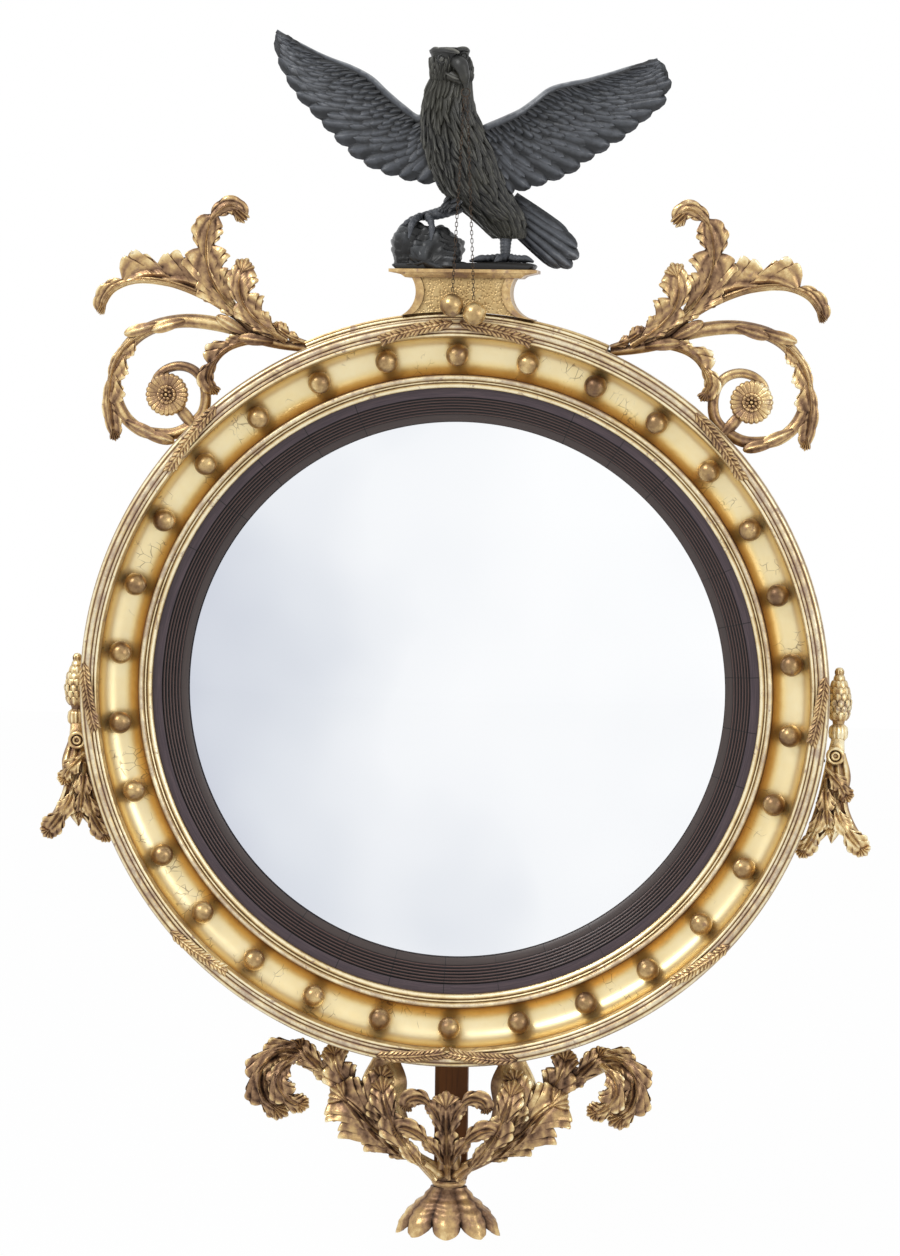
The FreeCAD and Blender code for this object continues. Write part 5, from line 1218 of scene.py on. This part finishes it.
CENTRE_FROND = ([(0, -534), (0, -500), (0, -464), (0, -436)], [-48, -56, -74, -86, -86],
                [(0.25, 9), (0.5, 15), (0.78, 17)], [(0.25, 9), (0.5, 15), (0.78, 17)],
                5.0, 17, 0.003, 0.0022)
CURLS = [
    ([(-3, -474), (-12, -452), (-26, -438), (-40, -440), (-44, -452)], [-76, -86, -90, -88, -80],
     [(0.35, 8), (0.7, 9)], [(0.35, 9), (0.7, 11)], 3.4, 7, 0.003, 0.0018),
    ([(-4, -516), (-16, -494), (-32, -478), (-48, -472), (-56, -480)], [-54, -72, -82, -82, -74],
     [(0.35, 8), (0.7, 9)], [(0.35, 9), (0.7, 12)], 3.4, 8, 0.003, 0.0018),
]
spray_parts = [bar(flat(SPRAY_STEM, [-32]), SPRAY_RADII, 80, 18, flutes=5, depth=0.18, twist=1.2),
               tongue(*SPRAY_TONGUE)] + fronds(SPRAY_FRONDS)
inner_parts = [bar(INNER_STALK, [0.005, 0.005, 0.005], 14, 12)] + frond(*INNER_FROND)
curl_parts = fronds(CURLS)
centre_parts = frond(*CENTRE_FROND) + curl_parts + mirrored(curl_parts)
carved_pair("apron_spray_carving", "apron_spray", spray_parts)
carved_pair("inner_leaf_carving", "apron_inner_leaf", inner_parts)
skin("centre_leaf_carving", centre_parts, gold_carved, "apron_centre_leaf", crease=50)


# %% The bell of leaves
def bell(top_z, count=9, rings=30, around=126):
    """A bell whose rim is cut into leaves. At the share s down from the top and the angle a, the
    radius follows an ease from 20 to 57 mm, with count grooves of growing depth, and the lower
    edge hangs |cos(count a / 2)| further down at the middle of each leaf."""
    a = np.linspace(0, full_turn, around, endpoint=False)
    leaf = np.abs(np.cos(count * a / 2)) ** 0.75
    outer = np.concatenate([np.linspace(0, 1, rings), np.linspace(0.97, 0.30, rings - 10)])
    inner = np.concatenate([np.zeros(rings), np.full(rings - 10, 0.0042)])
    radius = (along_values([20, 27, 38, 48, 55, 57.5], outer) * mm - inner)[:, None]
    groove = 1 - 0.19 * (outer[:, None] ** 1.3) * (1 - leaf)
    vein = 1 + 0.018 * np.cos(count * 3 * a) * outer[:, None]
    z = top_z - (0.040 * outer ** 0.9)[:, None] - 0.0125 * leaf * (outer ** 2.2)[:, None]
    r = radius * groove * vein
    points = np.stack([r * np.sin(a), -0.034 - r * np.cos(a) * 0.62, z + 0 * a], -1)
    # painted shade and highlights: the tone is high down the middle of each leaf and low in the grooves and
    # on the inside
    return points[None], (0.15 + 0.62 * leaf * (inner[:, None] == 0) * (0.4 + 0.6 * outer[:, None]))[None]


_, bell_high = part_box("apron_drop")
skin("leaf_bell", [bell(bell_high[2])], gold_carved, replaces="apron_drop", crease=60)

# %% [markdown]
# ## The crest
# A short reeded rail follows the ring, and a waisted plinth stands on it. The plinth keeps its
# shape from the construction. Only the rail gets a new skin, turned as the ring's mouldings are.

# %% Crest rail
rail_r, rail_out_r, rail_front_y, rail_back_y = side_r + 0.0003, 0.4115, -0.084, -0.020
rail_in, rail_over = (rail_r, rail_front_y + 0.003), (rail_out_r - 0.002, rail_front_y + 0.005)
rail_section = moulding((rail_r, rail_back_y),
                        [rail_in] + reeding(rail_in, rail_over, 3, 0.0011)
                        + [(rail_out_r, rail_front_y + 0.006), (rail_out_r, rail_back_y)])
rail_profile, rail_tones = rail_section
rail_angles = np.linspace(-rail_angle, rail_angle, 90)
skin("crest_rail_reeding", [(turned(rail_profile, rail_angles), rail_tones)], gold_moulding,
     replaces="crest_rail")

# %% [markdown]
# ## The eagle
# The bird stands with spread wings, one foot on a rock, and looks to the viewer's right. Its body
# is a loft: ellipses of changing size along a bent spine. Over it lie several hundred feathers,
# each a small closed blade. Hair or instances could do this too, but the exported model would
# lose them, so the feathers are real meshes, placed in rows with a little chance in each.

# %% Body and neck
perch = np.array([7.0, 0.0, 457.0])        # top of the plinth, under the bird, in millimetres
BODY = np.array([    # z, x, y, half width and half depth, from the throat to the thigh
    (206, -15, -76, 19.5, 19.5), (190, -19, -74, 22, 20.5), (158, -18, -66, 28, 25), (129, -8, -61, 36.5, 28),
    (105, 0, -58, 36, 30), (81, 12, -54, 33.5, 28.5), (66, 25, -50, 29, 23.5), (48, 41, -46, 22, 17.5),
    (34, 46, -44, 13, 10)], float)
HEAD = np.array([
    (196, -16, -75, 19.5, 19), (205, -15, -78, 20.5, 20.5), (213, -15, -82, 21, 23.5),
    (220, -16, -84, 20.2, 24.5), (225, -17, -85, 19.6, 24.6), (228, -17, -86, 21.0, 24.6),
    (231, -17, -86, 21.2, 23.6), (232.6, -16, -86, 18.5, 21)], float)


def on_loft(slices, share, angle):
    """A point on a loft and its outward ray. The ellipse at a share of the spine's length has the
    centre (x, y, z) and half sizes hx and hy: x + hx cos a, y - hy sin a."""
    spine = slices[:, [1, 2, 0]]
    dense_t = np.linspace(0, len(slices) - 1, 200)
    steps = np.linalg.norm(np.diff(spline(spine, dense_t), axis=0), axis=1)
    length = np.concatenate([[0], np.cumsum(steps)])
    t = np.interp(np.clip(share, 0, 1) * length[-1], length, dense_t)
    z, x, y, hx, hy = np.moveaxis(spline(slices, t), -1, 0)
    point = np.stack([x + hx * np.cos(angle), y - hy * np.sin(angle), z], -1)
    ray = unit(np.stack([np.cos(angle) / hx, -np.sin(angle) / hy, 0 * x], -1))
    return (point + perch) * mm, ray, length[-1] * mm


def loft(slices, rings=60, around=44, rough=0.0):
    """The whole skin of a loft, with a wave of chisel marks as high as rough."""
    share, angle = np.meshgrid(np.linspace(0, 1, rings), np.linspace(0, full_turn, around, endpoint=False),
                               indexing="ij")
    point, ray, _ = on_loft(slices, share, angle)
    wave = np.sin(9 * angle + 40 * share) * np.sin(23 * share * 3 - 4 * angle)
    # painted shade and highlights: the tone follows the chisel marks
    return (point + ray * (rough * wave)[..., None])[None], (0.3 + 0.15 * wave)[None]


def plumage(slices, rows, count, length, width, first=0.0, last=0.95, lift=0.0026):
    """Rows of narrow feathers over a loft, from the share first to last. Each starts under the
    row before it, and its tip stands off by the lift."""
    row, k = np.meshgrid(np.arange(rows), np.arange(count), indexing="ij")
    share = first + (last - first) * (row + chance.uniform(-0.25, 0.25, row.shape)) / (rows - 1)
    angle = (k + 0.5 * (row % 2) + chance.uniform(-0.28, 0.28, row.shape)) / count * full_turn
    share, angle = share.ravel(), angle.ravel()
    root, ray, total = on_loft(slices, share, angle)
    reach = length * chance.uniform(0.75, 1.2, share.shape)
    tip, ray_tip, _ = on_loft(slices, share + reach / total, angle + chance.uniform(-0.14, 0.14, angle.shape))
    stand_off = (lift * chance.uniform(0.5, 1.3, angle.shape))[:, None]
    bow = chance.uniform(-0.0030, 0.0030, share.shape)
    return blades(root - ray * 0.0008, tip + ray_tip * stand_off, width, out=ray, arch=0.0010, bow=bow,
                  thick=0.0012, cut=0.9, rings=6, around=7, widest=0.42, stem=0.5, low=0.2)


body_parts = [loft(BODY, rough=0.0006), plumage(BODY, 28, 24, 0.026, 0.0030, 0.0, 0.97, lift=0.0021)]
skin("eagle_breast", body_parts, breast_black, replaces="eagle_body", crease=60)


# %% Head, brow and beak
def there(*point):
    """A place on the bird, given from the perch, in metres."""
    return (np.array(point, float) + perch) * mm


beak_hole = there(2, -104, 190)
BEAK = np.array([(-13, -99, 220), (-4, -109, 215), (0.5, -109.5, 203), (2, -105, 190)], float)
JAW = np.array([(-14, -98, 205), (-6, -104, 199), (-3, -105.5, 195)], float)
head_parts = [loft(HEAD, 60, 60, rough=0.0003), plumage(HEAD, 7, 26, 0.013, 0.0023, 0.0, 0.42, lift=0.0012)]
beak = bar((BEAK + perch) * mm, np.array([8.0, 8.0, 5.8, 2.0]) * mm, 34, 22, press=0.9)[0]
jaw = bar((JAW + perch) * mm, np.array([7.0, 5.4, 2.2]) * mm, 20, 18, press=0.8)[0]
head_parts += [(beak, 0.42), (jaw, 0.36)]
gape_root = np.stack([there(-20, -104.5, 206), there(5, -97, 209)])
gape_tip = np.stack([there(-4, -109.5, 198.5), there(2, -106, 199)])
head_parts.append(blades(gape_root, gape_tip, 0.0022, out=(0, -1, -0.3), arch=0.0022, thick=0.0018,
                         around=10))
brow_root = np.stack([there(-35, -92, 230), there(-26, -106, 230), there(-8, -110, 230)])
brow_tip = np.stack([there(-22, -109, 228), there(-4, -114, 226), there(5, -94, 229)])
head_parts.append(blades(brow_root, brow_tip, np.array([0.0030, 0.0036, 0.0030]), out=(0, -0.8, 0.6),
                         arch=0.0020, rings=12, around=14, stem=0.8, widest=0.5))
eyes = np.stack([there(-23.0, -106.0, 220.5), there(-0.5, -104.5, 223)])
head_parts.append(balls(eyes, 0.0038, 10, 14, dent=0))
lid_turn = np.linspace(0, full_turn, 22, endpoint=False)[:, None]
lid_tube = np.linspace(0, full_turn, 8, endpoint=False)[None]
lid_r = 0.0044 + 0.0012 * np.cos(lid_tube)
lid_y = -0.0012 * np.sin(lid_tube) + 0 * lid_turn
lids = np.stack([lid_r * np.cos(lid_turn), lid_y, lid_r * np.sin(lid_turn)], -1)
head_parts.append((eyes[:, None, None] + lids[None] + outward * 0.0010, 0.42, True))
skin("eagle_head_carving", head_parts, breast_black, replaces="eagle_head", crease=55)

# %% [markdown]
# A wing is a surface of two shares: t runs along it from the shoulder to the tip, and k across it
# from the leading edge to the tips of the long feathers. A feather is then a pair of points on
# that surface. Each row starts further in and ends further out on t, so the feathers sweep
# back, and each shorter row lies a little in front of the longer one, as on a real bird.

# %% Wings
LEFT_LEAD = [(2, 142), (-24, 166), (-49, 157), (-82, 180), (-110, 205), (-163, 228), (-205, 252)]
LEFT_TRAIL = [(6, 100), (-20, 92), (-38, 91), (-56, 95), (-76, 100), (-96, 107), (-113, 116), (-133, 131),
              (-149, 149), (-167, 170), (-182, 186), (-194, 206), (-202, 224), (-205, 245)]
RIGHT_LEAD = [(6, 140), (29, 152), (60, 167), (93, 192), (121, 198), (151, 207), (203, 224)]
RIGHT_TRAIL = [(8, 104), (30, 92), (50, 82), (64, 86), (80, 92), (92, 97), (108, 103), (126, 114), (142, 127),
               (158, 137), (172, 146), (184, 158), (200, 172), (216, 188), (217, 207), (210, 219)]
WING_ROWS = [    # feathers in the row, k of the tips, overlap, sweep, half width, how proud, end on t
    (18, 0.74, 0.36, 0.18, 0.0088, 2.0, 1.0), (20, 0.62, 0.32, 0.15, 0.0076, 2.8, 1.0),
    (23, 0.50, 0.27, 0.13, 0.0066, 3.5, 1.0), (26, 0.39, 0.23, 0.11, 0.0056, 4.0, 1.0),
    (29, 0.28, 0.20, 0.09, 0.0048, 4.0, 0.97), (32, 0.18, 0.15, 0.07, 0.0040, 3.2, 0.93)]


class Wing:
    """The surface S(t, k) = lead(t) + (trail(t) - lead(t)) k, with depths y that follow t, a
    swell in front that fades towards k = 1, and the other way round on the back."""

    def __init__(self, lead, trail, depths):
        self.lead, self.trail, self.depths = lead, trail, depths

    def at(self, t, k, front=1.0, proud=0.0):
        """Points of the surface. With front = -1 they lie on the back, with 0 in the middle."""
        t, k = np.broadcast_arrays(np.asarray(t, float), np.asarray(k, float))
        lead, trail = path(self.lead, np.clip(t, 0, 1))[0], path(self.trail, np.clip(t, 0, 1))[0]
        xz = lead + (trail - lead) * k[..., None]
        swell = 5.5 * np.sqrt(np.clip(1 - k, 0, 1)) * np.clip(1.25 - t, 0, 1) + 3.0
        y = along_values(self.depths, t) - front * (swell + proud)
        return (np.stack([xz[..., 0], y, xz[..., 1]], -1) + perch) * mm

    def core(self, rings=40, around=36, reach=0.90):
        """The wood under the feathers: one closed sheet, front and back."""
        t, a = np.meshgrid(np.linspace(0.0, 0.985, rings), np.linspace(0, full_turn, around, endpoint=False),
                           indexing="ij")
        # painted shade: the core between the feathers gets a low tone of 0.15
        return self.at(t, reach * (1 - np.cos(a)) / 2, np.sin(a))[None], 0.15

    def row(self, count, k, overlap, sweep, width, front, proud, thick=0.0011, start=0.02, end=1.0,
            rings=6, around=8):
        """One row of feathers whose tips lie at k, on the front or on the back."""
        j = (np.arange(count) + chance.uniform(-0.25, 0.25, count) * (k < 1)) / (count - 1)
        t = start + (end - start) * np.clip(j, 0, 1)
        tip = self.at(t, k * chance.uniform(0.92, 1.0, count) if k < 1 else k, front, proud)
        root_t = np.clip(t - sweep * (0.35 + 0.65 * t) * chance.uniform(0.8, 1.2, count), 0, 1)
        root = self.at(root_t, max(k - overlap, 0.03), front, proud * 0.4)
        bow = chance.uniform(-0.0016, 0.0016, count)
        return blades(root, tip, width, out=(0, -front, 0), arch=0.0010, curl=0.0010, thick=thick, cut=1.0,
                      bow=bow, cup=-0.07, rings=rings, around=around, widest=0.66, stem=0.5, low=0.18)

    def feathers(self, start):
        """The core, the rows on both faces from the longest to the shortest, and the leading edge."""
        parts = [self.core()]
        for front in (1.0, -1.0):
            parts.append(self.row(14, 1.0, 0.50, 0.26, 0.0122, front, -0.6, thick=0.0020, start=start,
                                  rings=10, around=12))
            parts.append(self.row(16, 0.86, 0.42, 0.22, 0.0102, front, 1.0, start=start))
            for count, k, overlap, sweep, width, proud, end in WING_ROWS:
                parts.append(self.row(count, k, overlap, sweep, width, front, proud, end=end))
        edge = self.at(np.linspace(0.0, 1.0, 12), 0.015, front=0.0)
        rings = bar(edge, np.array([8.0, 7.6, 6.6, 5.6, 4.2, 2.2]) * mm, 60, 18, press=0.95)[0]
        # painted highlight: the tone rises towards the top of the leading edge
        height = rings[..., 2] - rings[..., 2].mean(-1, keepdims=True)
        parts.append((rings, 0.6 + 0.4 * height / height.max(-1, keepdims=True)))
        return parts


left_wing = Wing(LEFT_LEAD, LEFT_TRAIL, [-62, -56, -56, -58, -62])
right_wing = Wing(RIGHT_LEAD, RIGHT_TRAIL, [-60, -56, -56, -59, -64])
skin("eagle_wing_feathers_left", left_wing.feathers(0.06), feather_black,
     replaces="eagle_wing_left", crease=60)
skin("eagle_wing_feathers_right", right_wing.feathers(0.10), feather_black,
     replaces="eagle_wing_right", crease=60)

# %% Tail
tail_root = np.array([(50, -39, 78), (46, -41, 72), (44, -40, 66), (43, -39, 60), (43, -37, 54)]) + perch
tail_tip = np.array([(110, -36, 35), (119, -38, 25), (121, -38, 14), (114, -37, 4), (102, -35, 4)]) + perch
tail_widths = np.array([9, 10, 10.5, 10, 9]) * mm
tail_parts = [blades(tail_root * mm, tail_tip * mm, tail_widths, arch=0.002, thick=0.0045, cut=0.4, cup=-0.1,
                     rings=14, around=16, widest=0.75, stem=0.75)]
along_tail = np.linspace(0.0, 0.66, 9)[:, None, None]
tail_run = (tail_tip - tail_root)[None]
spread = tail_root[None] + tail_run * along_tail
tail_lift = np.array([0, -3.6, 0]) * (1.0 - 0.5 * along_tail)
for sign in (1.0, -1.0):
    root = (spread + sign * tail_lift).reshape(-1, 3) * mm
    tip = (spread + tail_run * 0.33 + sign * tail_lift).reshape(-1, 3) * mm
    tail_parts.append(blades(root, tip, 0.0062, out=(0, -sign, 0), arch=0.0010, thick=0.0016, cut=0.8,
                             rings=6, around=8, widest=0.6, bow=chance.uniform(-0.002, 0.002, len(root))))
skin("eagle_tail_feathers", tail_parts, feather_black, replaces="eagle_tail", crease=60)


# %% Legs and claws
def toe(points, radii):
    """A scaly toe and its claw: a bar whose radius goes up and down, then thins out."""
    ringed = []
    for share in np.linspace(0, 1, 15):
        size = np.interp(share, [0, 0.35, 0.72, 1], radii)
        ringed.append(size * (1.0 if len(ringed) % 2 else 0.84) if share < 0.7 else size)
    return bar((np.array(points, float) + perch) * mm, np.array(ringed) * mm, 44, 12)


def leg(shank, radii, toes, toe_radii=(4.6, 4.2, 3.4, 1.0)):
    """A shank with rings of scales, and its toes."""
    ringed = np.interp(np.linspace(0, 1, 17), np.linspace(0, 1, len(radii)), radii)
    ringed *= np.where(np.arange(17) % 2, 1, 0.93)
    shin = bar((np.array(shank, float) + perch) * mm, ringed * mm, 50, 16)
    return [shin] + [toe(points, toe_radii) for points in toes]


leg_left = leg([(-6, -58, 72), (-22, -60, 62), (-44, -62, 56)], [10, 7, 5.4],
               [[(-42, -62, 57), (-56, -62, 53), (-66, -66, 45), (-76, -68, 32)],
                [(-42, -62, 57), (-50, -72, 55), (-55, -84, 48), (-58, -89, 32)],
                [(-42, -62, 57), (-38, -74, 54), (-34, -84, 46), (-34, -89, 30)]])
leg_right = leg([(44, -50, 46), (43, -52, 30), (43, -56, 15)], [9, 6.4, 5.4],
                [[(43, -56, 14), (30, -62, 12), (18, -68, 11.6), (6, -72, 9)],
                 [(43, -56, 14), (40, -66, 12.6), (38, -76, 11.6), (34, -84, 9)],
                 [(43, -56, 14), (54, -60, 12), (66, -62, 11.8), (74, -64, 9)]], (5.4, 5.0, 4.2, 1.2))
THIGH = np.array([(80, -2, -58, 15, 15), (70, -9, -59, 12, 12), (60, -20, -60, 8, 8)], float)
leg_left.append(plumage(THIGH, 4, 10, 0.014, 0.0028, 0.0, 0.8))
skin("eagle_leg_carving_left", leg_left, feather_black, "eagle_leg_left", crease=60)
skin("eagle_leg_carving_right", leg_right, feather_black, "eagle_leg_right", crease=60)


# %% The rock
def lump(points, scale_range, y_range, rings=44, around=120, rough=1.3, seed=5):
    """A carved lump: an outline in x and z, pushed back along y. At the share s its size about the
    foot grows by (1 - |2 s - 1|^4)^(1/4), and a sum of five waves of space roughens it. Layers of
    stone, |sin| of the height, are added to the waves."""
    outline, _ = path(np.array(points, float), np.linspace(0, 1, around))
    middle = np.array([np.mean(outline[:, 0]), outline[:, 1].min()])
    s = (1 - np.cos(np.linspace(0.008, 0.992, rings) * np.pi)) / 2
    low, high = scale_range
    size = low + (high - low) * (1 - np.abs(2 * s - 1) ** 4) ** 0.25
    xz = middle + (outline[None] - middle) * size[:, None, None]
    y = np.broadcast_to((y_range[0] + (y_range[1] - y_range[0]) * s)[:, None], xz.shape[:2])
    p = np.stack([xz[..., 0], y, xz[..., 1]], -1)
    wave = np.zeros(p.shape[:2])
    draw = np.random.default_rng(seed)
    for scale in (0.08, 0.15, 0.26, 0.45, 0.7):
        direction = draw.normal(size=3) * scale * np.array([1.0, 0.5, 1.8])
        wave += np.sin(p @ direction + draw.uniform(0, 6)) * (0.35 / scale) ** 0.5
    outward_xz = unit(p[..., [0, 2]] - middle)
    x, y, z = np.moveaxis(p, -1, 0)
    strata = np.abs(np.sin(0.42 * z + 0.05 * x + 0.9 * np.sin(0.09 * x + 0.05 * y)))
    wave += 1.6 * strata ** 0.5 - 1.4
    p[..., 0] += outward_xz[..., 0] * (rough * wave * 0.6 - 0.6)
    p[..., 2] += np.maximum(outward_xz[..., 1], 0) * (rough * wave * 0.6 - 0.6)
    p[..., 1] -= rough * 0.7 * wave * np.clip(1 - 8 * s, -1, 1)[:, None]
    # painted shade and highlights: the tone follows the waves and layers of the stone
    return ((p + perch) * mm)[None], np.clip(0.35 + 0.12 * wave, 0, 1)[None]


ROCK = [(-76, 1), (-77.5, 18), (-76, 33), (-69, 43), (-58, 47.5), (-40, 49.5), (-20, 46), (-5, 33),
        (-1, 16), (-1, 1)]
SLAB = [(-76, 0.6), (-76, 6), (-40, 8.4), (0, 7.6), (40, 8.6), (74, 7), (76, 0.6)]
rock_low, rock_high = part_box("eagle_rock")
print("rock box:", [round(v, 3) for v in rock_low], [round(v, 3) for v in rock_high])
rock_parts = [lump(ROCK, (0.05, 0.985), (-83, -31), rings=70, rough=1.8),
              lump(SLAB, (0.90, 0.99), (-83, -32), rough=0.5, seed=8)]
skin("carved_rock", rock_parts, rock_black, replaces="eagle_rock", crease=50)

# %% [markdown]
# ## Chains and hung balls
# A ring hangs in the beak, and two chains of about fifty tiny links hang from it, each with a ball
# at its end. Each chain is one rigid piece here, hung from an empty of its own, and so is each
# ball. The links are made again with fewer faces, because there are ninety-six of them.

# %% Links
link_wire, link_mid, link_half_straight, link_step = 0.4, 1.25, 1.35, 4.3
hook_ring_r, hook_wire, hook_play, link_inside = 4.5, 0.6, 0.2, 2.2
hung_eye_r, hung_eye_wire, hung_eye_sink, link_play, hung_gap = 2.0, 0.5, 0.3, 0.1, 0.6
link_counts = {"left": 47, "right": 49}
top_link_angle = math.radians(24.0)        # of the top links on the ring, from its lowest point
hung_r = ball_r / mm


def sway_place(side):
    """Where the chain meets its top link, under the ring in the beak, in millimetres."""
    a = top_link_angle * (-1 if side == "left" else 1)
    below = hook_ring_r * (1 + math.cos(a)) - hook_wire - hook_play + 2 * link_inside + link_wire
    return beak_hole / mm + np.array([hook_ring_r * math.sin(a), 0, -below])


def hung_length(side):
    """From there to the centre of the ball."""
    return (link_step * link_counts[side] + 0.05 + hung_eye_r - link_wire - hung_eye_wire - link_play + hung_r
            + hung_eye_sink)


def chain_lean(side):
    """The balls touch side by side, which spreads the chains a little."""
    drop = hung_length("right") - hung_length("left")
    reach = math.sqrt((2 * hung_r + hung_gap) ** 2 - drop ** 2)
    apart = (reach - abs(sway_place("right")[0] - sway_place("left")[0])) / 2
    return math.asin(apart / hung_length(side)) * (-1 if side == "left" else 1)


def links_of(side):
    """Links i = 0, 1, ... at equal steps down the chain, every second one turned by 90 degrees. A
    link is a tube round a stadium: two half circles joined by straight sides."""
    lean = chain_lean(side)
    down = np.array([math.sin(lean), 0, -math.cos(lean)])
    across, deep = np.array([math.cos(lean), 0, math.sin(lean)]), np.array([0.0, 1.0, 0.0])
    t = (np.arange(12) + 0.5) / 12 * full_turn
    straight = np.sign(np.sin(t)) * link_half_straight
    line = np.stack([link_mid * np.cos(t), link_mid * np.sin(t) + straight], -1)
    out = np.stack([np.cos(t), np.sin(t)], -1)
    b = np.arange(5) / 5 * full_turn
    flat_pos = line[:, None] + out[:, None] * (link_wire * np.cos(b))[:, None]
    off_plane = np.broadcast_to(link_wire * np.sin(b), flat_pos.shape[:2])
    i = np.arange(link_counts[side])
    centre = sway_place(side) + down * (link_step * i + link_inside - link_wire - link_play)[:, None]
    wide = np.where((i % 2 == 0)[:, None], across, deep)[:, None, None]
    normal = np.where((i % 2 == 0)[:, None], deep, across)[:, None, None]
    points = (centre[:, None, None] + wide * flat_pos[None, ..., :1] - down * flat_pos[None, ..., 1:]
              + normal * off_plane[None, ..., None])
    return points * mm, 0.5, True


def hung_ball_parts(side):
    """The ball at the end of a chain, and the wire eye that holds it."""
    lean = chain_lean(side)
    down = np.array([math.sin(lean), 0, -math.cos(lean)])
    centre = (sway_place(side) + down * hung_length(side)) * mm
    eye = (sway_place(side) + down * (hung_length(side) - hung_r - hung_eye_sink)) * mm
    t, b = np.arange(20) / 20 * full_turn, np.arange(8) / 8 * full_turn
    swirl = (hung_eye_r + hung_eye_wire * np.cos(b))[None]
    torus = np.stack([np.broadcast_to(hung_eye_wire * np.sin(b), (20, 8)), swirl * np.cos(t)[:, None],
                      swirl * np.sin(t)[:, None]], -1) * mm
    return [balls([centre], ball_r, 30, 44, dent=0.006), ((eye + torus)[None], 0.5, True)]


for side in ("left", "right"):
    skin(f"chain_links_{side}", [links_of(side)], chain_brass, f"chain_{side}",
         body=f"{side}_chain", crease=0)
    skin(f"hung_ball_gilding_{side}", hung_ball_parts(side), gold_ball, f"hung_ball_{side}",
         body=f"{side}_hung_ball")

# %% [markdown]
# ## The plainer pieces
# What is left keeps the shape that it has in the construction: boards, battens, screws, pins and
# the rear of the ring. Each gets its own finish through its material slot, and its mesh stays as it
# is. Those meshes carry no tone, so the gilding gets one number instead.

# %% Finishes of the carried pieces
plain_moulding = gilding("plain moulding gilding", MOULDING_STOPS, metallic=0.6, roughness=(0.3, 0.52),
                         wear=0.5, mottle=0.55, dirt_and_shade=0.8, cracks=0.1, clay="8f7067", tone=0.58)
plain_carved = gilding("plain carved gilding", CARVED_STOPS, metallic=0.65, roughness=(0.2, 0.5), wear=0.6,
                       mottle=0.8, dirt_and_shade=0.8, clay="8f7063", tone=0.55)
carried = {}
for finish, names in (
        (plain_moulding, ["cove_ring", "crest_plinth"]),
        (plain_carved, ["plinth_cap", "plinth_stiles", "apron_core", "apron_collar"]),
        (gold_punched, ["plinth_panel"]),
        (pine, ["glazing_blocks", "backboard"]),
        (brown_wood, ["crest_batten", "apron_batten", "eagle_dowels"]),
        (steel, ["backboard_screws", "crest_screws", "apron_screws", "plate_screws", "scroll_pins",
                 "rosette_pins", "drop_pins"]),
        (iron, ["hanging_plates"]),
        (chain_brass, ["beak_ring", "top_link_left", "top_link_right"])):
    carried.update(dict.fromkeys(names, finish))
for name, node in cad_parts.items():
    if node.hide_render:
        continue
    node.data.materials.clear()
    node.data.materials.append(carried[name])
shown = [name for name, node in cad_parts.items() if not node.hide_render]
print(len(shown), "carried pieces:", shown)

# %% Last update of the view layer
bpy.context.view_layer.update()
